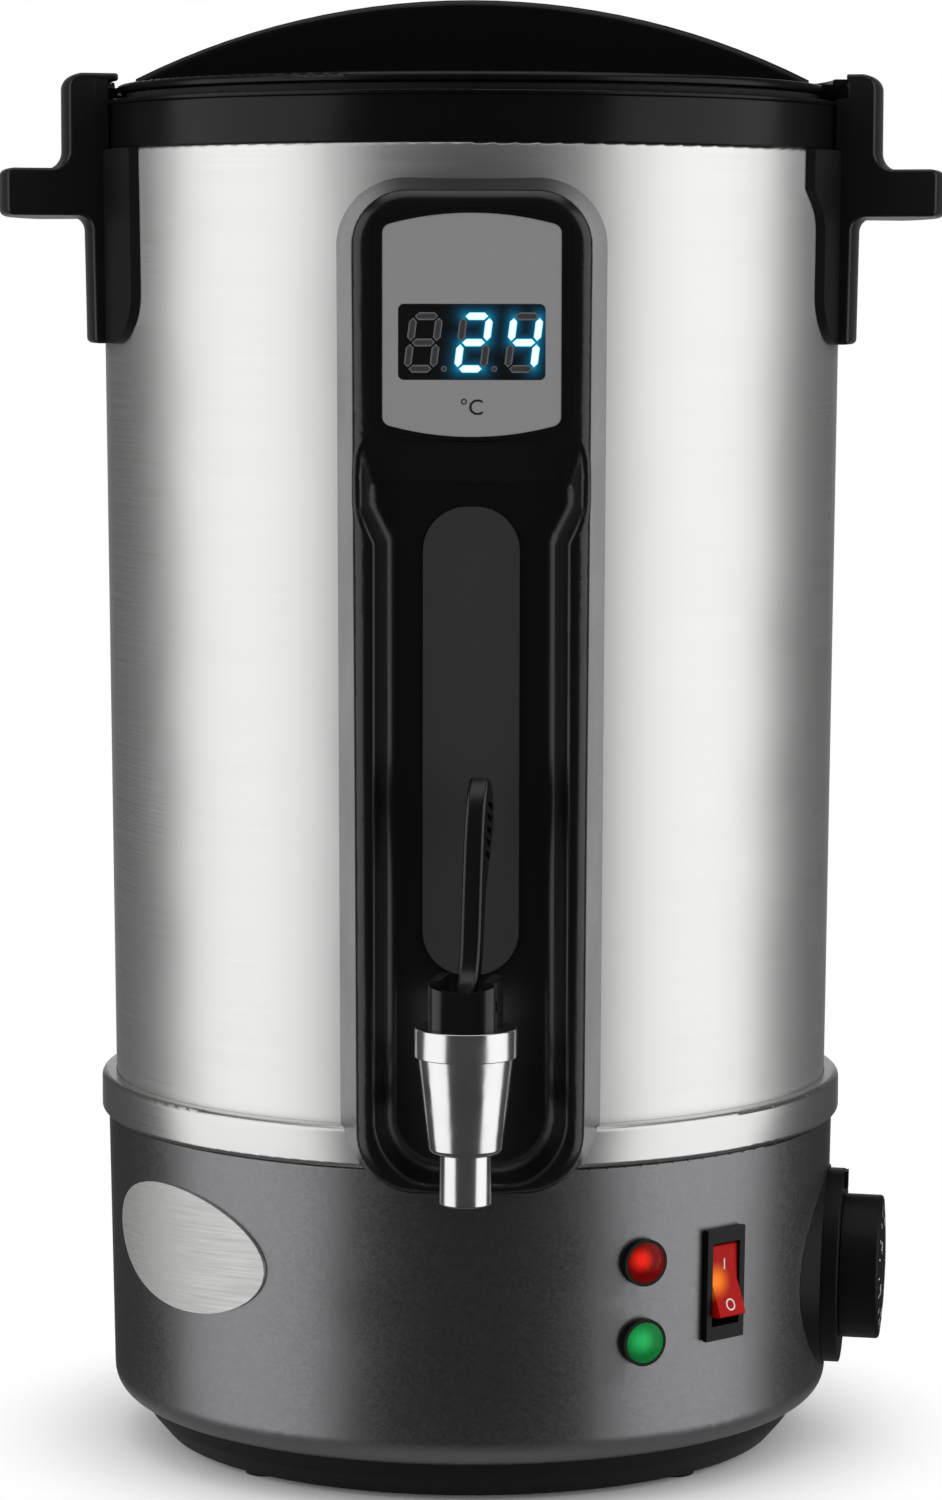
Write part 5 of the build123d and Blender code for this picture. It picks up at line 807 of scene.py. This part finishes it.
# %% A tree that sets ticks round an arc
def tick_tree():
    """Geometry Nodes: ticks at equal steps round an arc, anticlockwise from the top."""
    tree = bpy.data.node_groups.new("ticks round an arc", "GeometryNodeTree")
    face = tree.interface
    face.new_socket("Count", in_out="INPUT", socket_type="NodeSocketInt").default_value = 11
    for name, value in (("Sweep", 1.0), ("Radius", 10 * MM), ("Length", 2 * MM),
                        ("Width", 0.5 * MM), ("Thickness", 0.1 * MM)):
        face.new_socket(name, in_out="INPUT", socket_type="NodeSocketFloat").default_value = value
    face.new_socket("Finish", in_out="INPUT", socket_type="NodeSocketMaterial")
    face.new_socket("Ticks", in_out="OUTPUT", socket_type="NodeSocketGeometry")
    given = add_node(tree, "NodeGroupInput").outputs
    points = add_node(tree, "GeometryNodeMeshLine", {"Count": given["Count"]})
    index = add_node(tree, "GeometryNodeInputIndex").outputs[0]
    last = add_node(tree, "ShaderNodeMath", {0: given["Count"], 1: 1.0}, operation="SUBTRACT")
    share = add_node(tree, "ShaderNodeMath", {0: index, 1: last.outputs[0]}, operation="DIVIDE")
    turn = add_node(tree, "ShaderNodeMath", {0: share.outputs[0], 1: given["Sweep"]},
                    operation="MULTIPLY").outputs[0]
    sine = add_node(tree, "ShaderNodeMath", {0: turn}, operation="SINE")
    cosine = add_node(tree, "ShaderNodeMath", {0: turn}, operation="COSINE")
    direction = add_node(tree, "ShaderNodeCombineXYZ",
                         {"X": sine.outputs[0], "Y": cosine.outputs[0]})
    spot = add_node(tree, "ShaderNodeVectorMath",
                    {0: direction.outputs[0], "Scale": given["Radius"]}, operation="SCALE")
    mirror = add_node(tree, "ShaderNodeVectorMath", {0: spot.outputs[0], 1: (-1.0, 1.0, 1.0)},
                      operation="MULTIPLY")
    arc = add_node(tree, "GeometryNodeSetPosition",
                   {"Geometry": points.outputs["Mesh"], "Position": mirror.outputs[0]})
    size = add_node(tree, "ShaderNodeCombineXYZ",
                    {"X": given["Width"], "Y": given["Length"], "Z": given["Thickness"]})
    block = add_node(tree, "GeometryNodeMeshCube", {"Size": size.outputs[0]})
    spin = add_node(tree, "ShaderNodeCombineXYZ", {"Z": turn})
    ticks = add_node(tree, "GeometryNodeInstanceOnPoints",
                     {"Points": arc.outputs[0], "Instance": block.outputs["Mesh"],
                      "Rotation": spin.outputs[0]})
    real = add_node(tree, "GeometryNodeRealizeInstances", {"Geometry": ticks.outputs[0]})
    inked = add_node(tree, "GeometryNodeSetMaterial",
                     {"Geometry": real.outputs[0], "Material": given["Finish"]})
    add_node(tree, "NodeGroupOutput", {0: inked.outputs[0]})
    return tree


def grown_mesh(tree, name, **values):
    """Runs a tree with these inputs and returns what it makes as a plain mesh."""
    holder = bpy.data.objects.new(name, bpy.data.meshes.new(name))
    modifier = holder.modifiers.new("grow", "NODES")
    modifier.node_group = tree
    for item in tree.interface.items_tree:
        if item.in_out == "INPUT" and item.name in values:
            modifier[item.identifier] = values[item.name]
    return plain_mesh(holder)


TICK_TREE = tick_tree()
print("tick tree:", len(TICK_TREE.nodes), "nodes")

# %% [markdown]
# ### The scale on the knob
#
# The scale is laid out in a plane that faces the knob, and is then dropped onto the knob as the
# signs were. The tree could set the numbers too, but a loop over plain text is easier to read:
# each number is turned by its share of the sweep. All of it rides on the knob's body, so it
# turns with the knob.

# %% Mark the knob
KNOB_SWEEP = 270.0
DIAL_AHEAD = 0.1  # metres from the drum's axis to the plane of the scale
TICK_RADIUS = 16.9 * MM
NUMBER_RADIUS = 12.9 * MM
NUMBER_SIZE = 3.4 * MM
NUMBERS = ["0", "30", "50", "70", "90", "110"]

dial = facing_plane(azimuth=82.0, distance=0.0, height=51.7 * MM, droop=BASE_DROOP)
ticks = grown_mesh(TICK_TREE, "knob_ticks", Count=16, Sweep=math.radians(KNOB_SWEEP),
                   Radius=TICK_RADIUS, Length=1.8 * MM, Width=0.45 * MM, Thickness=0.8 * INK,
                   Finish=WHITE_INK)
drop_onto(ticks, dial @ Matrix.Translation((0, 0, DIAL_AHEAD)), "thermostat_knob")
show_piece("knob_ticks", ticks, WHITE_INK, "knob")
for step, number in enumerate(NUMBERS):
    turn = Matrix.Rotation(math.radians(KNOB_SWEEP * step / (len(NUMBERS) - 1)), 4, "Z")
    spot = dial @ turn @ Matrix.Translation((0, NUMBER_RADIUS, DIAL_AHEAD))
    print_mark("knob_number_" + number, number, NUMBER_SIZE, spot, "thermostat_knob", WHITE_INK)
print("ticks:", len(ticks.polygons) // 6, "numbers:", len(NUMBERS))

# %% [markdown]
# ## A plain studio
#
# The object stands on a pale sheet of paper. Two tall soft boxes stand left and right, a
# little in front of it, so that the drum shows two bright upright bands with a dark middle and
# dark edges. A wide soft box overhead fills the tops. The room is dim, apart from a white
# backdrop behind the object. Rays from the camera and rays through glass see that white all
# round, so every view has the same background, and reflections see the backdrop where it is.

# %% The room
ROOM_GLOSS = 0.05  # how bright the dim room looks in a reflection
ROOM_FILL = 0.42  # how bright it is as a light on the object
BACKDROP_EDGE = 0.94  # how squarely a reflected ray must point back to meet the backdrop

bpy.context.scene.view_settings.view_transform = "Standard"
world = bpy.data.worlds.new("studio")
bpy.context.scene.world = world
world.use_nodes = True
tree = world.node_tree
tree.nodes.clear()
ray = add_node(tree, "ShaderNodeLightPath").outputs
heading = add_node(tree, "ShaderNodeTexCoord").outputs["Generated"]
back = add_node(tree, "ShaderNodeSeparateXYZ", {0: heading}).outputs["Y"]
reflected = add_node(tree, "ShaderNodeMapRange",
                     {"Value": back, "From Min": BACKDROP_EDGE, "From Max": 1.0,
                      "To Min": ROOM_GLOSS, "To Max": 1.0})
unseen = add_node(tree, "ShaderNodeMix",
                  {0: ray["Is Glossy Ray"], 2: ROOM_FILL, 3: reflected.outputs["Result"]})
direct = add_node(tree, "ShaderNodeMath",
                  {0: ray["Is Camera Ray"], 1: ray["Is Transmission Ray"]}, operation="MAXIMUM")
strength = add_node(tree, "ShaderNodeMix", {0: direct.outputs[0], 2: unseen.outputs[0], 3: 1.0})
background = add_node(tree, "ShaderNodeBackground",
                      {"Color": (1.0, 1.0, 1.0, 1.0), "Strength": strength.outputs[0]})
add_node(tree, "ShaderNodeOutputWorld", {"Surface": background.outputs[0]})
print("room fill:", ROOM_FILL)

# %% [markdown]
# ### The floor
#
# A sheet of pale paper takes the object's shadow. A sharp edge of it would show as a line, so
# it fades out to the white of the background close round the object, where its soft shadow
# ends. A curved backdrop would also hide the edge, but not from every side.

# %% The paper floor
FLOOR_RADIUS = 0.2
FLOOR_SIDES = 64
FLOOR_FADE_START = 0.07
FLOOR_FADE_END = 0.15
PAPER_COLOUR = "#F2F2F2"
PAPER_FIBRE = 2.0 * MM  # the width of its soft clouds, as its fibres are too fine to show
PAPER_DEPTH = 0.01 * MM

PAPER, tree, place = open_finish("pale paper floor", PAPER_COLOUR)
span = add_node(tree, "ShaderNodeVectorMath", {0: place}, operation="LENGTH").outputs["Value"]
fade = add_node(tree, "ShaderNodeMapRange",
                {"Value": span, "From Min": FLOOR_FADE_START, "From Max": FLOOR_FADE_END},
                interpolation_type="SMOOTHSTEP").outputs["Result"]
fibre = add_node(tree, "ShaderNodeTexNoise", {"Vector": place, "Scale": 1.0 / PAPER_FIBRE})
bump = add_node(tree, "ShaderNodeBump", {"Height": fibre.outputs["Fac"], "Distance": PAPER_DEPTH})
sheet = add_node(tree, "ShaderNodeBsdfPrincipled",
                 {"Base Color": linear(PAPER_COLOUR), "Roughness": 0.9, "Normal": bump.outputs[0]})
gone = add_node(tree, "ShaderNodeBsdfTransparent")
faded = add_node(tree, "ShaderNodeMixShader", {0: fade, 1: sheet.outputs[0], 2: gone.outputs[0]})
add_node(tree, "ShaderNodeOutputMaterial", {"Surface": faded.outputs[0]})

shell = bmesh.new()
bmesh.ops.create_circle(shell, cap_ends=True, radius=FLOOR_RADIUS, segments=FLOOR_SIDES)
floor_mesh = bpy.data.meshes.new("floor")
shell.to_mesh(floor_mesh)
shell.free()
floor_mesh.materials.append(PAPER)
floor = bpy.data.objects.new("floor", floor_mesh)
bpy.context.scene.collection.objects.link(floor)
print("floor radius:", FLOOR_RADIUS)

# %% [markdown]
# ### The soft boxes
#
# A soft box is a lamp behind white cloth, and an area lamp gives the same even face. A glowing
# plane would light the object as well, with more noise. The lamp's power is pi times its area
# times its brightness, so a brightness of 1 looks just white in a mirror, whatever its size.

# %% Soft boxes
AIM_HEIGHT = 0.2  # the boxes face the axis at this height


def soft_box(name, azimuth, distance, rise, width, height, brightness):
    """A rectangular soft box that faces the object; brightness 1 looks white in a mirror."""
    lamp = bpy.data.lights.new(name, "AREA")
    lamp.shape = "RECTANGLE"
    lamp.size = width
    lamp.size_y = height
    lamp.energy = math.pi * width * height * brightness
    box = bpy.data.objects.new(name, lamp)
    bpy.context.scene.collection.objects.link(box)
    turn = math.radians(azimuth)
    stand = Vector((distance * math.sin(turn), -distance * math.cos(turn), rise))
    aim = Vector((0.0, 0.0, AIM_HEIGHT)) - stand
    box.matrix_world = Matrix.Translation(stand) @ aim.to_track_quat("-Z", "Y").to_matrix().to_4x4()
    box.visible_camera = False


soft_box("left_box", azimuth=-70.0, distance=1.0, rise=0.3, width=1.15, height=1.6,
         brightness=1.25)
soft_box("right_box", azimuth=72.0, distance=1.0, rise=0.3, width=1.15, height=1.6,
         brightness=1.3)
soft_box("top_box", azimuth=0.0, distance=0.05, rise=1.6, width=1.5, height=1.5,
         brightness=1.0)
print("soft boxes:", len(bpy.data.lights))
